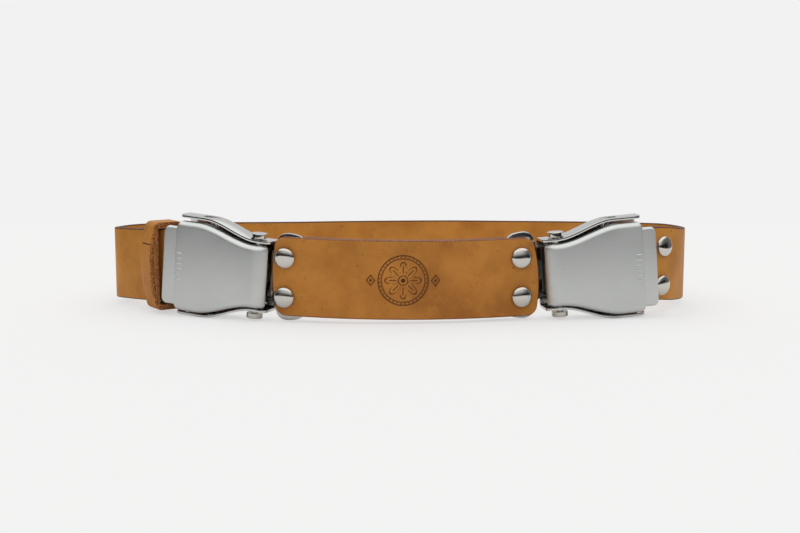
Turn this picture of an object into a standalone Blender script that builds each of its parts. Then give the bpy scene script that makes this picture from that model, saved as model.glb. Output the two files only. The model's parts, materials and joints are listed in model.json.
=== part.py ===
"""Leather belt with two lift-lever buckles and a riveted centre panel.

The belt is closed and stands on its lower edge. Units are metres and +Z is up. The centre panel faces
-Y, and the origin is in the middle of the belt's outline on the ground. The lengths that drive the
model come first, then the placing of the two buckles, the route of the strap, and one function for
each piece.

Inside a buckle, u runs from the hinge edge towards the lip, d runs from the cover's face back into
the buckle, and w runs across the strap. Both buckles are the same part, one turned over.
"""

import math

import bmesh
import bpy
import numpy as np
from mathutils import Matrix, Vector

# Leather
STRAP_WIDTH = 0.0480
STRAP_THICK = 0.0036
EDGE_CHAMFER = 0.0006
PLY_GAP = 0.0004
SEAT_GAP = 0.0003

# Buckle frame, a channel of pressed steel
FRAME_SHEET = 0.0016
FRAME_HINGE_HALF = 0.0230
FRAME_FLARE_HALF = 0.0325
FRAME_S_START = 0.0100
FRAME_S_END = 0.0475
FRAME_U_START = 0.0006
FRAME_U_END = 0.0672
FRAME_FRONT = 0.0042
FRAME_BACK = 0.0215
FRAME_BEND_RADIUS = 0.0030
WALL_END_ROUND = 0.0060
HINGE_END_ROUND = 0.0030
SIDE_STATIONS = np.arange(0.0060, 0.0600, 0.0042)

# Lever cover, pressed steel on a hinge pin
LEVER_SHEET = 0.0015
LEVER_WAIST_HALF = 0.0201
LEVER_FLARE_HALF = 0.0294
LEVER_S_START = 0.010
LEVER_S_END = 0.051
HINGE_FLARE = 0.0005
HINGE_FLARE_END = 0.008
LEVER_FLANGE_DEPTH = 0.0068
ROLL_FLANGE_DEPTH = 0.0058
SHOULDER_FLANGE_DEPTH = 0.0048
LEVER_EDGE_RADIUS = 0.0038
SHOULDER_U = 0.0655
SHOULDER_STEP = 0.0009
LIP_HALF = 0.0257
LIP_U_END = 0.0738
LIP_CORNER = 0.0030
LIP_LIFT = 0.0009
LIP_HEM = 0.0006
ROLL_RADIUS = 0.0094
ROLL_END_ANGLE = math.radians(21)

# Hinge pin and the bar that the strap turns round. Pin and lever hang down by their play in the frame.
PIN_U = 0.0105
PIN_D = 0.0095
PIN_RADIUS = 0.0023
PIN_HEAD_RADIUS = 0.0052
PIN_HEAD_THICK = 0.0032
PIN_HEAD_RIM = 0.0006
PIN_PLAY = 0.0004
EAR_RADIUS = 0.0050
EAR_INSET = 0.0004
EAR_TOP_D = 0.0044
BAR_U = 0.0448
BAR_D = 0.0124
BAR_RADIUS = 0.0027
BAR_END_RIM = 0.0005
BAR_END_INSET = 0.0002
SLOT_U = (0.0418, 0.0524)

# Claw under the cover, and the window in the tongue that it holds
CLAW_U = (0.0135, 0.0170)
CLAW_HALF = 0.0070
CLAW_TIP_D = 0.0186
WINDOW_U = (0.0125, 0.0190)
WINDOW_HALF = 0.0085

# Tongue, flat steel with a step where it leaves the buckle. Its slot is measured from the panel's end.
TONGUE_SHEET = 0.0020
TONGUE_SLOT = (0.0052, 0.0156)
TONGUE_SLOT_HALF = 0.0205
TONGUE_INNER_D = 0.0186
TONGUE_EDGE = 0.0003
CUT_REACH = 0.0040

# Centre panel, two plies of leather round the ends of the tongues
PANEL_HALF = 0.0252
PANEL_THICK = 0.0038
PANEL_END_BULGE = 0.0033
PANEL_CORNER = 0.0055
PANEL_END_SKEW = 0.03
BACK_PLY_SHORTER = 0.0026
PLIES_MEET = (0.026, 0.050)

# Rivets with domed caps
RIVET_CAP_RADIUS = 0.0067
RIVET_CAP_HEIGHT = 0.0025
RIVET_CAP_RIM = 0.0005
RIVET_SHANK_RADIUS = 0.0020
RIVET_BACK_RADIUS = 0.0050
RIVET_BACK_THICK = 0.0012
RIVET_BACK_TAPER = 0.0005
PANEL_RIVET_SPACING = 0.0251
STRAP_RIVET_SPACING = 0.0258
STRAP_RIVET_XY = (0.1716, -0.0469)
STRAP_RIVET_DROP = 0.0014
HOLE_REACH = 0.0020
BEND_ALLOWANCE = 0.0005

# Keeper, a leather loop that holds the strap's free end. It stands upright round the sloping strap,
# and is thickest in the middle of its front, where its ends lap.
KEEPER_WIDTH = 0.0130
KEEPER_THICK = 0.0036
KEEPER_LAP = 0.0026
KEEPER_TWIST = math.radians(18)
KEEPER_FROM_EXIT = 0.0206
KEEPER_CORNER = 0.0030
KEEPER_EASE = 0.0009
STRAP_SLOPE = math.radians(5.5)

# Each buckle: the corner of its hinge edge in plan, its turn in plan, its tilt along the strap,
# where the panel's tip lies in the buckle, and how far the tongue has slid across its rivets
BUCKLES = {
    "left": dict(
        side=-1,
        x=-0.0852,
        y=-0.0815,
        yaw=math.radians(22.2),
        roll=math.radians(4.8),
        tip=(-0.0005, 0.0010),
        tongue_slip=-0.0007,
    ),
    "right": dict(
        side=1,
        x=0.0924,
        y=-0.0750,
        yaw=math.radians(9.5),
        roll=math.radians(4.4),
        tip=(-0.0019, -0.0005),
        tongue_slip=0.0008,
    ),
}

# Route of the strap's outer face in plan, from the right buckle round the back to the left one,
# with the height of its lower edge above the ground
STRAP_ROUTE = [
    dict(x=0.1724, y=-0.0465, lift=0.0094),
    dict(x=0.1813, y=-0.0370, lift=0.0078),
    dict(x=0.1886, y=-0.0248, lift=0.0062),
    dict(x=0.1936, y=-0.0112, lift=0.0050),
    dict(x=0.1957, y=0.0015, lift=0.0042),
    dict(x=0.1935, y=0.0175, lift=0.0036),
    dict(x=0.1870, y=0.0305, lift=0.0033),
    dict(x=0.1760, y=0.0415, lift=0.0026),
    dict(x=0.1550, y=0.0550, lift=0.0017),
    dict(x=0.1200, y=0.0695, lift=0.0007),
    dict(x=0.0800, y=0.0790, lift=0.0000),
    dict(x=0.0400, y=0.0820, lift=0.0000),
    dict(x=0.0000, y=0.0808, lift=0.0000),
    dict(x=-0.0400, y=0.0775, lift=0.0000),
    dict(x=-0.0800, y=0.0725, lift=0.0000),
    dict(x=-0.1200, y=0.0645, lift=0.0006),
    dict(x=-0.1500, y=0.0548, lift=0.0016),
    dict(x=-0.1660, y=0.0468, lift=0.0023),
    dict(x=-0.1780, y=0.0370, lift=0.0028),
    dict(x=-0.1878, y=0.0255, lift=0.0034),
    dict(x=-0.1941, y=0.0125, lift=0.0038),
    dict(x=-0.1964, y=0.0005, lift=0.0042),
    dict(x=-0.1932, y=-0.0078, lift=0.0046),
    dict(x=-0.1850, y=-0.0155, lift=0.0051),
    dict(x=-0.1707, y=-0.0277, lift=0.0060),
    dict(x=-0.1575, y=-0.0395, lift=0.0074),
]
ROUTE_STEP = 0.0010
STRAP_EXIT_U = 0.0640
STRAP_EXIT_D = 0.0098
BUCKLE_REACH = 0.110
UNTWIST_LENGTH = 0.025
FOLD_LENGTH = 0.0300
TAIL_LENGTH = 0.0460
TURN_RADIUS = BAR_RADIUS + SEAT_GAP + STRAP_THICK / 2
AFTER_TURN_U = 0.0070
AFTER_TURN_RISE = 0.0008
PLY_START = 0.0020
PLY_STEP = 0.0030

# Line of the centre panel's face, from tip to tip
PANEL_TIP_D = 0.0085
PANEL_END_YAW = math.radians(15.5)
PANEL_END_DROP = 0.030
PANEL_HANDLE = 1 / 3
PANEL_RIVETS = {"left": dict(x=-0.0731, drop=0.0007), "right": dict(x=0.0776, drop=0.0)}

# Outline of the tongue: its blade, placed in the buckle, and its head, measured from the panel's end
TONGUE_BLADE = [
    dict(u=0.0260, half=0.0100),
    dict(u=0.0250, half=0.0130),
    dict(u=0.0230, half=0.0155),
    dict(u=0.0205, half=0.0165),
    dict(u=0.0018, half=0.0165),
]
TONGUE_HEAD = [
    dict(s=0.0003, half=0.0170),
    dict(s=0.0013, half=0.0215),
    dict(s=0.0024, half=0.0243),
    dict(s=0.0041, half=0.0263),
    dict(s=0.0060, half=0.0274),
    dict(s=0.0089, half=0.0280),
    dict(s=0.0127, half=0.0277),
    dict(s=0.0167, half=0.0269),
    dict(s=0.0194, half=0.0252),
    dict(s=0.0208, half=0.0228),
    dict(s=0.0214, half=0.0205),
]


# Scene and materials


def clear_scene():
    for obj in list(bpy.data.objects):
        bpy.data.objects.remove(obj, do_unlink=True)


def material(name, colour, roughness, metallic):
    made = bpy.data.materials.new(name)
    made.use_nodes = True
    shader = made.node_tree.nodes["Principled BSDF"]
    shader.inputs["Base Color"].default_value = (*colour, 1.0)
    shader.inputs["Roughness"].default_value = roughness
    shader.inputs["Metallic"].default_value = metallic
    made.diffuse_color = (*colour, 1.0)
    return made


clear_scene()
belt = bpy.data.collections.new("double_buckle_belt")
cutters = bpy.data.collections.new("cutters")
bpy.context.scene.collection.children.link(belt)
bpy.context.scene.collection.children.link(cutters)

TAN_LEATHER = material("tan_bridle_leather", (0.36, 0.16, 0.045), 0.55, 0.0)
RAW_LEATHER = material("raw_edge_leather", (0.30, 0.14, 0.05), 0.75, 0.0)
SATIN_STEEL = material("satin_brushed_steel", (0.45, 0.46, 0.45), 0.38, 1.0)
CHROME = material("polished_chrome", (0.80, 0.81, 0.82), 0.10, 1.0)
NICKEL = material("polished_nickel", (0.72, 0.70, 0.66), 0.16, 1.0)


# Mesh helpers


def add_object(name, mesh, look, collection=belt):
    obj = bpy.data.objects.new(name, mesh)
    collection.objects.link(obj)
    if not mesh.materials:
        mesh.materials.append(look)
    return obj


def as_cutter(obj):
    obj.hide_render = True
    obj.display_type = "WIRE"
    return obj


def mesh_from(work, name, sharp=math.radians(35)):
    bmesh.ops.recalc_face_normals(work, faces=work.faces)
    mesh = bpy.data.meshes.new(name)
    work.to_mesh(mesh)
    work.free()
    mesh.shade_smooth()
    mesh.set_sharp_from_angle(angle=sharp)
    return mesh


def loft(name, sections, ring=False):
    """A closed mesh through loops of points that all have the same count. A ring joins last to first."""
    work = bmesh.new()
    loops = [[work.verts.new(Vector(point)) for point in section] for section in sections]
    count = len(loops[0])
    pairs = list(zip(loops, loops[1:]))
    if ring:
        pairs.append((loops[-1], loops[0]))
    for one, two in pairs:
        for i in range(count):
            j = (i + 1) % count
            work.faces.new((one[i], one[j], two[j], two[i]))
    if not ring:
        work.faces.new(loops[0])
        work.faces.new(loops[-1])
    return mesh_from(work, name)


def cylinder(name, radius, start, end, sides=20):
    """A cylinder between two points."""
    work = bmesh.new()
    run = Vector(end) - Vector(start)
    turn = Vector((0, 0, 1)).rotation_difference(run).to_matrix().to_4x4()
    place = Matrix.Translation((Vector(start) + Vector(end)) / 2) @ turn
    bmesh.ops.create_cone(
        work, cap_ends=True, segments=sides, radius1=radius, radius2=radius, depth=run.length, matrix=place
    )
    return mesh_from(work, name)


def block(name, low, high):
    work = bmesh.new()
    size = Vector(high) - Vector(low)
    place = Matrix.Translation((Vector(low) + Vector(high)) / 2) @ Matrix.Diagonal((*size, 1.0))
    bmesh.ops.create_cube(work, size=1.0, matrix=place)
    return mesh_from(work, name)


def turned(name, profile, look, sides):
    """A profile of radius and height, from the top down its outer side, turned round the Z axis."""
    work = bmesh.new()
    points = [work.verts.new((radius, 0, height)) for radius, height in profile]
    for one, two in zip(points, points[1:]):
        work.edges.new((one, two))
    mesh = bpy.data.meshes.new(name)
    work.to_mesh(mesh)
    work.free()
    obj = add_object(name, mesh, look)
    screw = obj.modifiers.new("turn", "SCREW")
    screw.axis = "Z"
    screw.angle = math.tau
    screw.steps = sides
    screw.render_steps = sides
    screw.use_merge_vertices = True
    screw.merge_threshold = 0.00002
    screw.use_smooth_shade = True
    return obj


def combined(base, others, operation):
    """The mesh of a base with other meshes joined to it or cut from it."""
    body = add_object("combine_base", base, SATIN_STEEL, cutters)
    helpers = [as_cutter(add_object("combine_part", other, SATIN_STEEL, cutters)) for other in others]
    for helper in helpers:
        modifier = body.modifiers.new(operation.lower(), "BOOLEAN")
        modifier.operation = operation
        modifier.object = helper
    bpy.context.view_layer.update()
    result = bpy.data.meshes.new_from_object(body.evaluated_get(bpy.context.evaluated_depsgraph_get()))
    result.materials.clear()
    for obj in [body, *helpers]:
        bpy.data.objects.remove(obj, do_unlink=True)
    return result


def smooth_step(value, start, end):
    t = min(max((value - start) / (end - start), 0.0), 1.0)
    return t * t * (3 - 2 * t)


# Places


def frame_half(u):
    rise = FRAME_FLARE_HALF - FRAME_HINGE_HALF
    return FRAME_HINGE_HALF + rise * smooth_step(u, FRAME_S_START, FRAME_S_END)


def lever_half(u):
    """Narrowest behind the hinge, a little wider at the roll and much wider at the shoulders."""
    rise = (LEVER_FLARE_HALF - LEVER_WAIST_HALF) * smooth_step(u, LEVER_S_START, LEVER_S_END)
    return LEVER_WAIST_HALF + rise + HINGE_FLARE * (1 - smooth_step(u, 0.0, HINGE_FLARE_END))


def buckle_axes(place):
    """Directions of u, d and w. The frame's widest part touches the ground, which sets the height."""
    side, yaw, roll = place["side"], place["yaw"], place["roll"]
    along = Vector((side * math.cos(roll) * math.cos(yaw), math.cos(roll) * math.sin(yaw), math.sin(roll)))
    back = Vector((-side * math.sin(yaw), math.cos(yaw), 0.0))
    across = along.cross(back) * side
    return along, back, across


def buckle_height(place):
    stations = np.linspace(FRAME_U_START, FRAME_U_END, 200)
    return max(frame_half(u) * math.cos(place["roll"]) - u * math.sin(place["roll"]) for u in stations)


def buckle_point(place, u, d, w=0.0):
    along, back, across = buckle_axes(place)
    origin = Vector((place["x"], place["y"], buckle_height(place)))
    return origin + along * u + back * d + across * w


def buckle_matrix(place, u=0.0, d=0.0):
    """Turns a mesh made in u, d and w into its place. The left buckle is the same part turned over."""
    along, back, across = buckle_axes(place)
    third = across * place["side"]
    turn = Matrix((along, back, third)).transposed().to_4x4()
    return Matrix.Translation(buckle_point(place, u, d)) @ turn


# The strap's route


def spline(points, step):
    """Points a step apart along a centripetal Catmull-Rom curve through the given points."""
    pts = [2 * points[0] - points[1], *points, 2 * points[-1] - points[-2]]
    dense = []
    for p0, p1, p2, p3 in zip(pts, pts[1:], pts[2:], pts[3:]):
        t0 = 0.0
        t1 = t0 + np.linalg.norm(p1 - p0) ** 0.5
        t2 = t1 + np.linalg.norm(p2 - p1) ** 0.5
        t3 = t2 + np.linalg.norm(p3 - p2) ** 0.5
        for t in np.linspace(t1, t2, 24, endpoint=False):
            a1 = (t1 - t) / (t1 - t0) * p0 + (t - t0) / (t1 - t0) * p1
            a2 = (t2 - t) / (t2 - t1) * p1 + (t - t1) / (t2 - t1) * p2
            a3 = (t3 - t) / (t3 - t2) * p2 + (t - t2) / (t3 - t2) * p3
            b1 = (t2 - t) / (t2 - t0) * a1 + (t - t0) / (t2 - t0) * a2
            b2 = (t3 - t) / (t3 - t1) * a2 + (t - t1) / (t3 - t1) * a3
            dense.append((t2 - t) / (t2 - t1) * b1 + (t - t1) / (t2 - t1) * b2)
    dense.append(points[-1])
    dense = np.array(dense)
    run = np.concatenate([[0.0], np.cumsum(np.linalg.norm(np.diff(dense, axis=0), axis=1))])
    places = np.linspace(0.0, run[-1], max(2, round(run[-1] / step)))
    return np.stack([np.interp(places, run, dense[:, k]) for k in range(3)], axis=1)


def directions(points):
    """Unit tangent, outward normal in plan and width direction at each point of a route."""
    tangent = np.gradient(points, axis=0)
    tangent /= np.linalg.norm(tangent, axis=1, keepdims=True)
    outward = np.stack([tangent[:, 1], -tangent[:, 0], np.zeros(len(points))], axis=1)
    outward /= np.linalg.norm(outward, axis=1, keepdims=True)
    across = np.cross(outward, tangent)
    across *= np.sign(across[:, 2:3])
    return tangent, outward, across


def ends_of_route(place):
    """Middle of the main ply inside a buckle, from the front of the bar to where it leaves the frame."""
    front_d = BAR_D - TURN_RADIUS
    middle = ((BAR_U + STRAP_EXIT_U) / 2, front_d + (STRAP_EXIT_D - front_d) / 4)
    steps = ((BAR_U, front_d), middle, (STRAP_EXIT_U, STRAP_EXIT_D))
    return [np.array(buckle_point(place, u, d)) for u, d in steps]


def main_route():
    """Middle of the leather from the front of the right bar, round the back, to the left bar."""
    right = ends_of_route(BUCKLES["right"])
    left = ends_of_route(BUCKLES["left"])[::-1]
    outer = np.array([(row["x"], row["y"], row["lift"] + STRAP_WIDTH / 2) for row in STRAP_ROUTE])
    outward = directions(np.vstack([right[-1], outer, left[0]]))[1][1:-1]
    return spline([*right, *(outer - STRAP_THICK / 2 * outward), *left], ROUTE_STEP)


def arc_length(points):
    return np.concatenate([[0.0], np.cumsum(np.linalg.norm(np.diff(points, axis=0), axis=1))])


def at_length(run, values, s):
    return np.array([np.interp(s, run, values[:, k]) for k in range(3)])


def second_ply(route, hand, place, length):
    """From the bar's front round the bar, then along the inside of the route, which starts at that bar."""
    turn = []
    for angle in np.linspace(0, math.pi, 9)[1:]:
        u = BAR_U - TURN_RADIUS * math.sin(angle)
        d = BAR_D - TURN_RADIUS * math.cos(angle)
        turn.append(np.array(buckle_point(place, u, d)))
    turn.append(np.array(buckle_point(place, BAR_U + AFTER_TURN_U, BAR_D + TURN_RADIUS - AFTER_TURN_RISE)))
    run = arc_length(route)
    outward = directions(route)[1] * hand
    start = STRAP_EXIT_U - BAR_U + PLY_START
    ply = []
    for s in np.arange(start, start + length, PLY_STEP):
        out = at_length(run, outward, s)
        ply.append(at_length(run, route, s) - (STRAP_THICK + PLY_GAP) * out / np.linalg.norm(out))
    return [*turn, *ply]


def width_direction(point, upright):
    """The strap lies square to each bar, and stands nearly upright away from the buckles."""
    for place in BUCKLES.values():
        along, _, across = buckle_axes(place)
        offset = Vector(point) - buckle_point(place, 0, 0)
        if offset.length < BUCKLE_REACH and place["side"] * point[0] > 0:
            blend = smooth_step(offset.dot(along), STRAP_EXIT_U, STRAP_EXIT_U + UNTWIST_LENGTH)
            return across.lerp(Vector(upright), blend).normalized()
    return Vector(upright)


def chosen_stations(points, turn_limit=math.radians(9), step_limit=0.014):
    """Fewer points along a dense route: close together in bends and far apart on straight runs."""
    tangent = directions(points)[0]
    run = arc_length(points)
    kept = [0]
    for i in range(1, len(points) - 1):
        bend = math.acos(min(1.0, float(tangent[i] @ tangent[kept[-1]])))
        if bend > turn_limit or run[i] - run[kept[-1]] > step_limit:
            kept.append(i)
    return [*kept, len(points) - 1]


def strip_section(centre, across, through, width, thick, chamfer):
    """Outline of a flat strip with chamfered edges, square to its run."""
    half, flat = width / 2, thick / 2
    corners = [
        (-half + chamfer, -flat),
        (half - chamfer, -flat),
        (half, -flat + chamfer),
        (half, flat - chamfer),
        (half - chamfer, flat),
        (-half + chamfer, flat),
        (-half, flat - chamfer),
        (-half, -flat + chamfer),
    ]
    return [centre + across * w + through * t for w, t in corners]


def rivet(name, grip):
    """A domed cap on the outside, a shank through the plies and a flat cap behind, along +Z."""
    rim = SEAT_GAP + RIVET_CAP_RIM
    arc = [math.radians(a) for a in (26, 50, 72)]
    dome = [(RIVET_CAP_RADIUS * math.sin(a), rim + RIVET_CAP_HEIGHT * math.cos(a)) for a in arc]
    back = -grip - SEAT_GAP
    profile = [
        (0, rim + RIVET_CAP_HEIGHT),
        *dome,
        (RIVET_CAP_RADIUS, rim),
        (RIVET_CAP_RADIUS, SEAT_GAP),
        (RIVET_SHANK_RADIUS, SEAT_GAP),
        (RIVET_SHANK_RADIUS, back),
        (RIVET_BACK_RADIUS, back),
        (RIVET_BACK_RADIUS - RIVET_BACK_TAPER, back - RIVET_BACK_THICK),
        (0, back - RIVET_BACK_THICK),
    ]
    return turned(name, profile, NICKEL, 16)


def rivet_matrix(point, outward, across):
    """+Z points out of the leather and +Y runs across the strap."""
    out = Vector(outward).normalized()
    side = Vector(across).cross(out).normalized()
    up = out.cross(side)
    return Matrix.Translation(Vector(point)) @ Matrix((side, up, out)).transposed().to_4x4()


def rivet_pair(name, grip, spacing, point, outward, across):
    for end, sign in (("upper", 1), ("lower", -1)):
        centre = Vector(point) + Vector(across) * sign * spacing / 2
        obj = rivet(f"{name}_{end}", grip)
        obj.matrix_world = rivet_matrix(centre, outward, across)


def rivet_holes(name, grip, spacing, point, outward, across):
    """Two round cutters where a pair of rivets goes through."""
    holes = []
    for sign in (1, -1):
        centre = Vector(point) + Vector(across) * sign * spacing / 2
        start = centre + Vector(outward) * HOLE_REACH
        end = centre - Vector(outward) * (grip + HOLE_REACH)
        holes.append(cylinder(f"{name}_{len(holes)}", RIVET_SHANK_RADIUS + SEAT_GAP, start, end, 12))
    return holes


# Leather pieces


def make_strap():
    main = main_route()
    fold = second_ply(main, 1, BUCKLES["right"], FOLD_LENGTH)
    tail = second_ply(main[::-1], -1, BUCKLES["left"], TAIL_LENGTH)
    fold_run = spline([*fold[::-1], main[0]], ROUTE_STEP)
    tail_run = spline([main[-1], *tail], ROUTE_STEP)
    dense = np.vstack([fold_run[:-1], main, tail_run[1:]])
    tangent, _, upright = directions(dense)
    sections = []
    for i in chosen_stations(dense):
        centre = Vector(dense[i])
        across = width_direction(dense[i], upright[i])
        through = Vector(tangent[i]).cross(across).normalized()
        sections.append(strip_section(centre, across, through, STRAP_WIDTH, STRAP_THICK, EDGE_CHAMFER))
    mesh = loft("main_strap", sections)
    place = strap_rivet_place(main)
    grip = 2 * STRAP_THICK + PLY_GAP + BEND_ALLOWANCE
    holes = rivet_holes("strap_rivet_hole", grip, STRAP_RIVET_SPACING, *place)
    add_object("main_strap", combined(mesh, holes, "DIFFERENCE"), TAN_LEATHER)
    rivet_pair("strap_rivet", grip, STRAP_RIVET_SPACING, *place)


def strap_rivet_place(main):
    """The leather's outer face where the two strap rivets sit."""
    i = int(np.argmin(np.linalg.norm(main[:, :2] - STRAP_RIVET_XY, axis=1)))
    _, outward, upright = directions(main)
    across = width_direction(main[i], upright[i])
    out = Vector(outward[i])
    out = (out - across * out.dot(across)).normalized()
    return Vector(main[i]) + out * STRAP_THICK / 2 - across * STRAP_RIVET_DROP, out, across


def make_keeper():
    """A loop of leather round both plies beside the left buckle, a little askew."""
    main = main_route()[::-1]
    run = arc_length(main)
    i = int(np.searchsorted(run, STRAP_EXIT_U - BAR_U + KEEPER_FROM_EXIT))
    up = Vector((0.0, 0.0, 1.0))
    out = -Vector(directions(main)[1][i])
    centre = Vector(main[i]) - out * (STRAP_THICK + PLY_GAP) / 2
    out = Matrix.Rotation(-KEEPER_TWIST, 3, up) @ out
    axis = up.cross(out)
    plies = 2 * STRAP_THICK + PLY_GAP
    half_depth = plies / math.cos(KEEPER_TWIST) / 2 + KEEPER_WIDTH * math.tan(KEEPER_TWIST) / 2
    half_depth += KEEPER_EASE + KEEPER_THICK / 2
    half_height = STRAP_WIDTH / 2 * math.cos(STRAP_SLOPE) + KEEPER_WIDTH / 2 * math.sin(STRAP_SLOPE)
    half_height += KEEPER_EASE + KEEPER_THICK / 2
    path = []
    for quarter in range(4):
        sign_out = (1, -1, -1, 1)[quarter]
        sign_up = (1, 1, -1, -1)[quarter]
        middle_out = sign_out * (half_depth - KEEPER_CORNER)
        middle_up = sign_up * (half_height - KEEPER_CORNER)
        for step in range(5):
            angle = math.pi / 2 * (quarter + step / 4)
            reach_out = middle_out + KEEPER_CORNER * math.cos(angle)
            reach_up = middle_up + KEEPER_CORNER * math.sin(angle)
            path.append((reach_out, reach_up, angle, KEEPER_THICK))
    for share in (-0.6, -0.3, 0.0, 0.3, 0.6):
        lap = KEEPER_LAP * (1 - share**2)
        path.append((half_depth + lap / 2, half_height * share, 0.0, KEEPER_THICK + lap))
    sections = []
    for reach_out, reach_up, angle, thick in path:
        through = out * math.cos(angle) + up * math.sin(angle)
        point = centre + out * reach_out + up * reach_up
        sections.append(strip_section(point, axis, through, KEEPER_WIDTH, thick, EDGE_CHAMFER))
    add_object("keeper", loft("keeper", sections, ring=True), RAW_LEATHER)


def panel_route():
    """Front face of the centre panel along its middle line, from the left tip to the right one."""
    tips = []
    for place in BUCKLES.values():
        tip_u, tip_w = place["tip"]
        tips.append(buckle_point(place, tip_u, PANEL_TIP_D, tip_w))
    span = (tips[1] - tips[0]).length
    reach = span * PANEL_HANDLE
    left_run = Vector((math.cos(PANEL_END_YAW), -math.sin(PANEL_END_YAW), -PANEL_END_DROP))
    right_run = Vector((-math.cos(PANEL_END_YAW), -math.sin(PANEL_END_YAW), -PANEL_END_DROP))
    knots = [tips[0], tips[0] + left_run * reach, tips[1] + right_run * reach, tips[1]]
    points = []
    for t in np.linspace(0, 1, 241):
        weights = ((1 - t) ** 3, 3 * t * (1 - t) ** 2, 3 * t * t * (1 - t), t**3)
        points.append(np.array(sum((k * w for k, w in zip(knots, weights)), Vector((0, 0, 0)))))
    points = np.array(points)
    tangent, outward, across = directions(points)
    return points, arc_length(points), outward, across


def ply_parting(s, length):
    """Gap between the panel's plies: the tongue's thickness near both ends, closed in the middle."""
    from_end = min(s, length - s)
    opened = TONGUE_SHEET + 2 * SEAT_GAP
    return opened + (PLY_GAP - opened) * smooth_step(from_end, *PLIES_MEET)


def panel_inset(w):
    """How far the panel's rounded end stops short of its tip, at a height from the middle."""
    end_radius = (PANEL_HALF**2 + PANEL_END_BULGE**2) / (2 * PANEL_END_BULGE)
    into_corner = max(0.0, abs(w) - (PANEL_HALF - PANEL_CORNER))
    corner = PANEL_CORNER - math.sqrt(max(0.0, PANEL_CORNER**2 - into_corner**2))
    return end_radius - math.sqrt(end_radius**2 - w * w) + corner


def panel_ply(name, route, back):
    """One ply of the panel, made of level slices from its lower edge to its upper one."""
    points, run, outward, across = route
    stations = 25
    sections = []
    for w in PANEL_HALF * np.sin(np.linspace(-math.pi / 2, math.pi / 2, 13)):
        inset = panel_inset(w) + (BACK_PLY_SHORTER if back else 0.0)
        skew = PANEL_END_SKEW * w
        faces = ([], [])
        for s in np.linspace(inset - skew, run[-1] - inset - skew, stations):
            out = at_length(run, outward, s)
            middle = at_length(run, points, s) + at_length(run, across, s) * w
            front = PANEL_THICK + ply_parting(s, run[-1]) if back else 0.0
            faces[0].append(middle - out * front)
            faces[1].append(middle - out * (front + PANEL_THICK))
        sections.append([*faces[0], *faces[1][::-1]])
    return loft(name, sections)


def make_panel():
    route = panel_route()
    points, run, outward, across = route
    grip = 2 * PANEL_THICK + TONGUE_SHEET + 2 * SEAT_GAP
    holes = {"front": [], "back": []}
    for side, row in PANEL_RIVETS.items():
        i = int(np.argmin(np.abs(points[:, 0] - row["x"])))
        place = (points[i] - across[i] * row["drop"], outward[i], across[i])
        rivet_pair(f"panel_rivet_{side}", grip, PANEL_RIVET_SPACING, *place)
        for ply in holes:
            holes[ply] += rivet_holes(f"{ply}_hole_{side}", grip, PANEL_RIVET_SPACING, *place)
    for ply in holes:
        mesh = panel_ply(f"panel_{ply}_ply", route, ply == "back")
        add_object(f"panel_{ply}_ply", combined(mesh, holes[ply], "DIFFERENCE"), TAN_LEATHER)


# Buckle pieces, made in u, d and w and shared by both buckles


def channel_section(u, half, front, back, radius, sheet):
    """A channel of bent sheet, open towards the front, square to u."""
    def side(sign, inset):
        bend = radius - inset
        points = [(sign * (half - inset), front)]
        for angle in (0, 30, 60, 90):
            a = math.radians(angle)
            w = half - radius + bend * math.cos(a)
            d = back - radius + bend * math.sin(a)
            points.append((sign * w, d))
        return points

    outer = [*side(1, 0.0), *side(-1, 0.0)[::-1]]
    inner = [*side(-1, sheet), *side(1, sheet)[::-1]]
    return [(u, d, w) for w, d in [*outer, *inner]]


def frame_front(u):
    """Front edge of the side walls, rounded off at both ends."""
    wide_end = max(0.0, u - (FRAME_U_END - WALL_END_ROUND)) / WALL_END_ROUND
    hinge_end = max(0.0, FRAME_U_START + HINGE_END_ROUND - u) / HINGE_END_ROUND
    rounding = WALL_END_ROUND * (1 - math.sqrt(1 - wide_end**2))
    rounding += HINGE_END_ROUND * (1 - math.sqrt(1 - hinge_end**2))
    return FRAME_FRONT + rounding


def frame_mesh():
    wide_end = [FRAME_U_END - WALL_END_ROUND * (1 - math.sin(math.radians(a))) for a in (0, 30, 55, 75, 90)]
    hinge_end = [FRAME_U_START + HINGE_END_ROUND * share for share in (0.0, 0.2, 1.0)]
    sections = []
    for u in [*hinge_end, *SIDE_STATIONS, *wide_end]:
        front = frame_front(u)
        sections.append(channel_section(u, frame_half(u), front, FRAME_BACK, FRAME_BEND_RADIUS, FRAME_SHEET))
    mesh = loft("buckle_frame", sections)
    reach = FRAME_FLARE_HALF + CUT_REACH
    slot = BAR_RADIUS + SEAT_GAP
    slots = block("bar_slot", (SLOT_U[0], BAR_D - slot, -reach), (SLOT_U[1], BAR_D + slot, reach))
    pin_hole = cylinder("pin_hole", PIN_RADIUS + SEAT_GAP, (PIN_U, PIN_D, -reach), (PIN_U, PIN_D, reach), 16)
    return combined(mesh, [slots, pin_hole], "DIFFERENCE")


def lever_section(point, inward, half, depth, radius):
    """The cover's sheet with its edges rolled over, square to the cover's run."""
    def side(sign, inset):
        bend = radius - inset
        points = [(sign * (half - inset), depth)]
        for angle in (0, 30, 60, 90):
            a = math.radians(angle)
            points.append((sign * (half - radius + bend * math.cos(a)), radius - bend * math.sin(a)))
        return points

    outer = [*side(1, 0.0), *side(-1, 0.0)[::-1]]
    inner = [*side(-1, LEVER_SHEET), *side(1, LEVER_SHEET)[::-1]]
    u0, d0 = point
    nu, nd = inward
    return [(u0 + nu * t, d0 + nd * t, w) for w, t in [*outer, *inner]]


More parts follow.
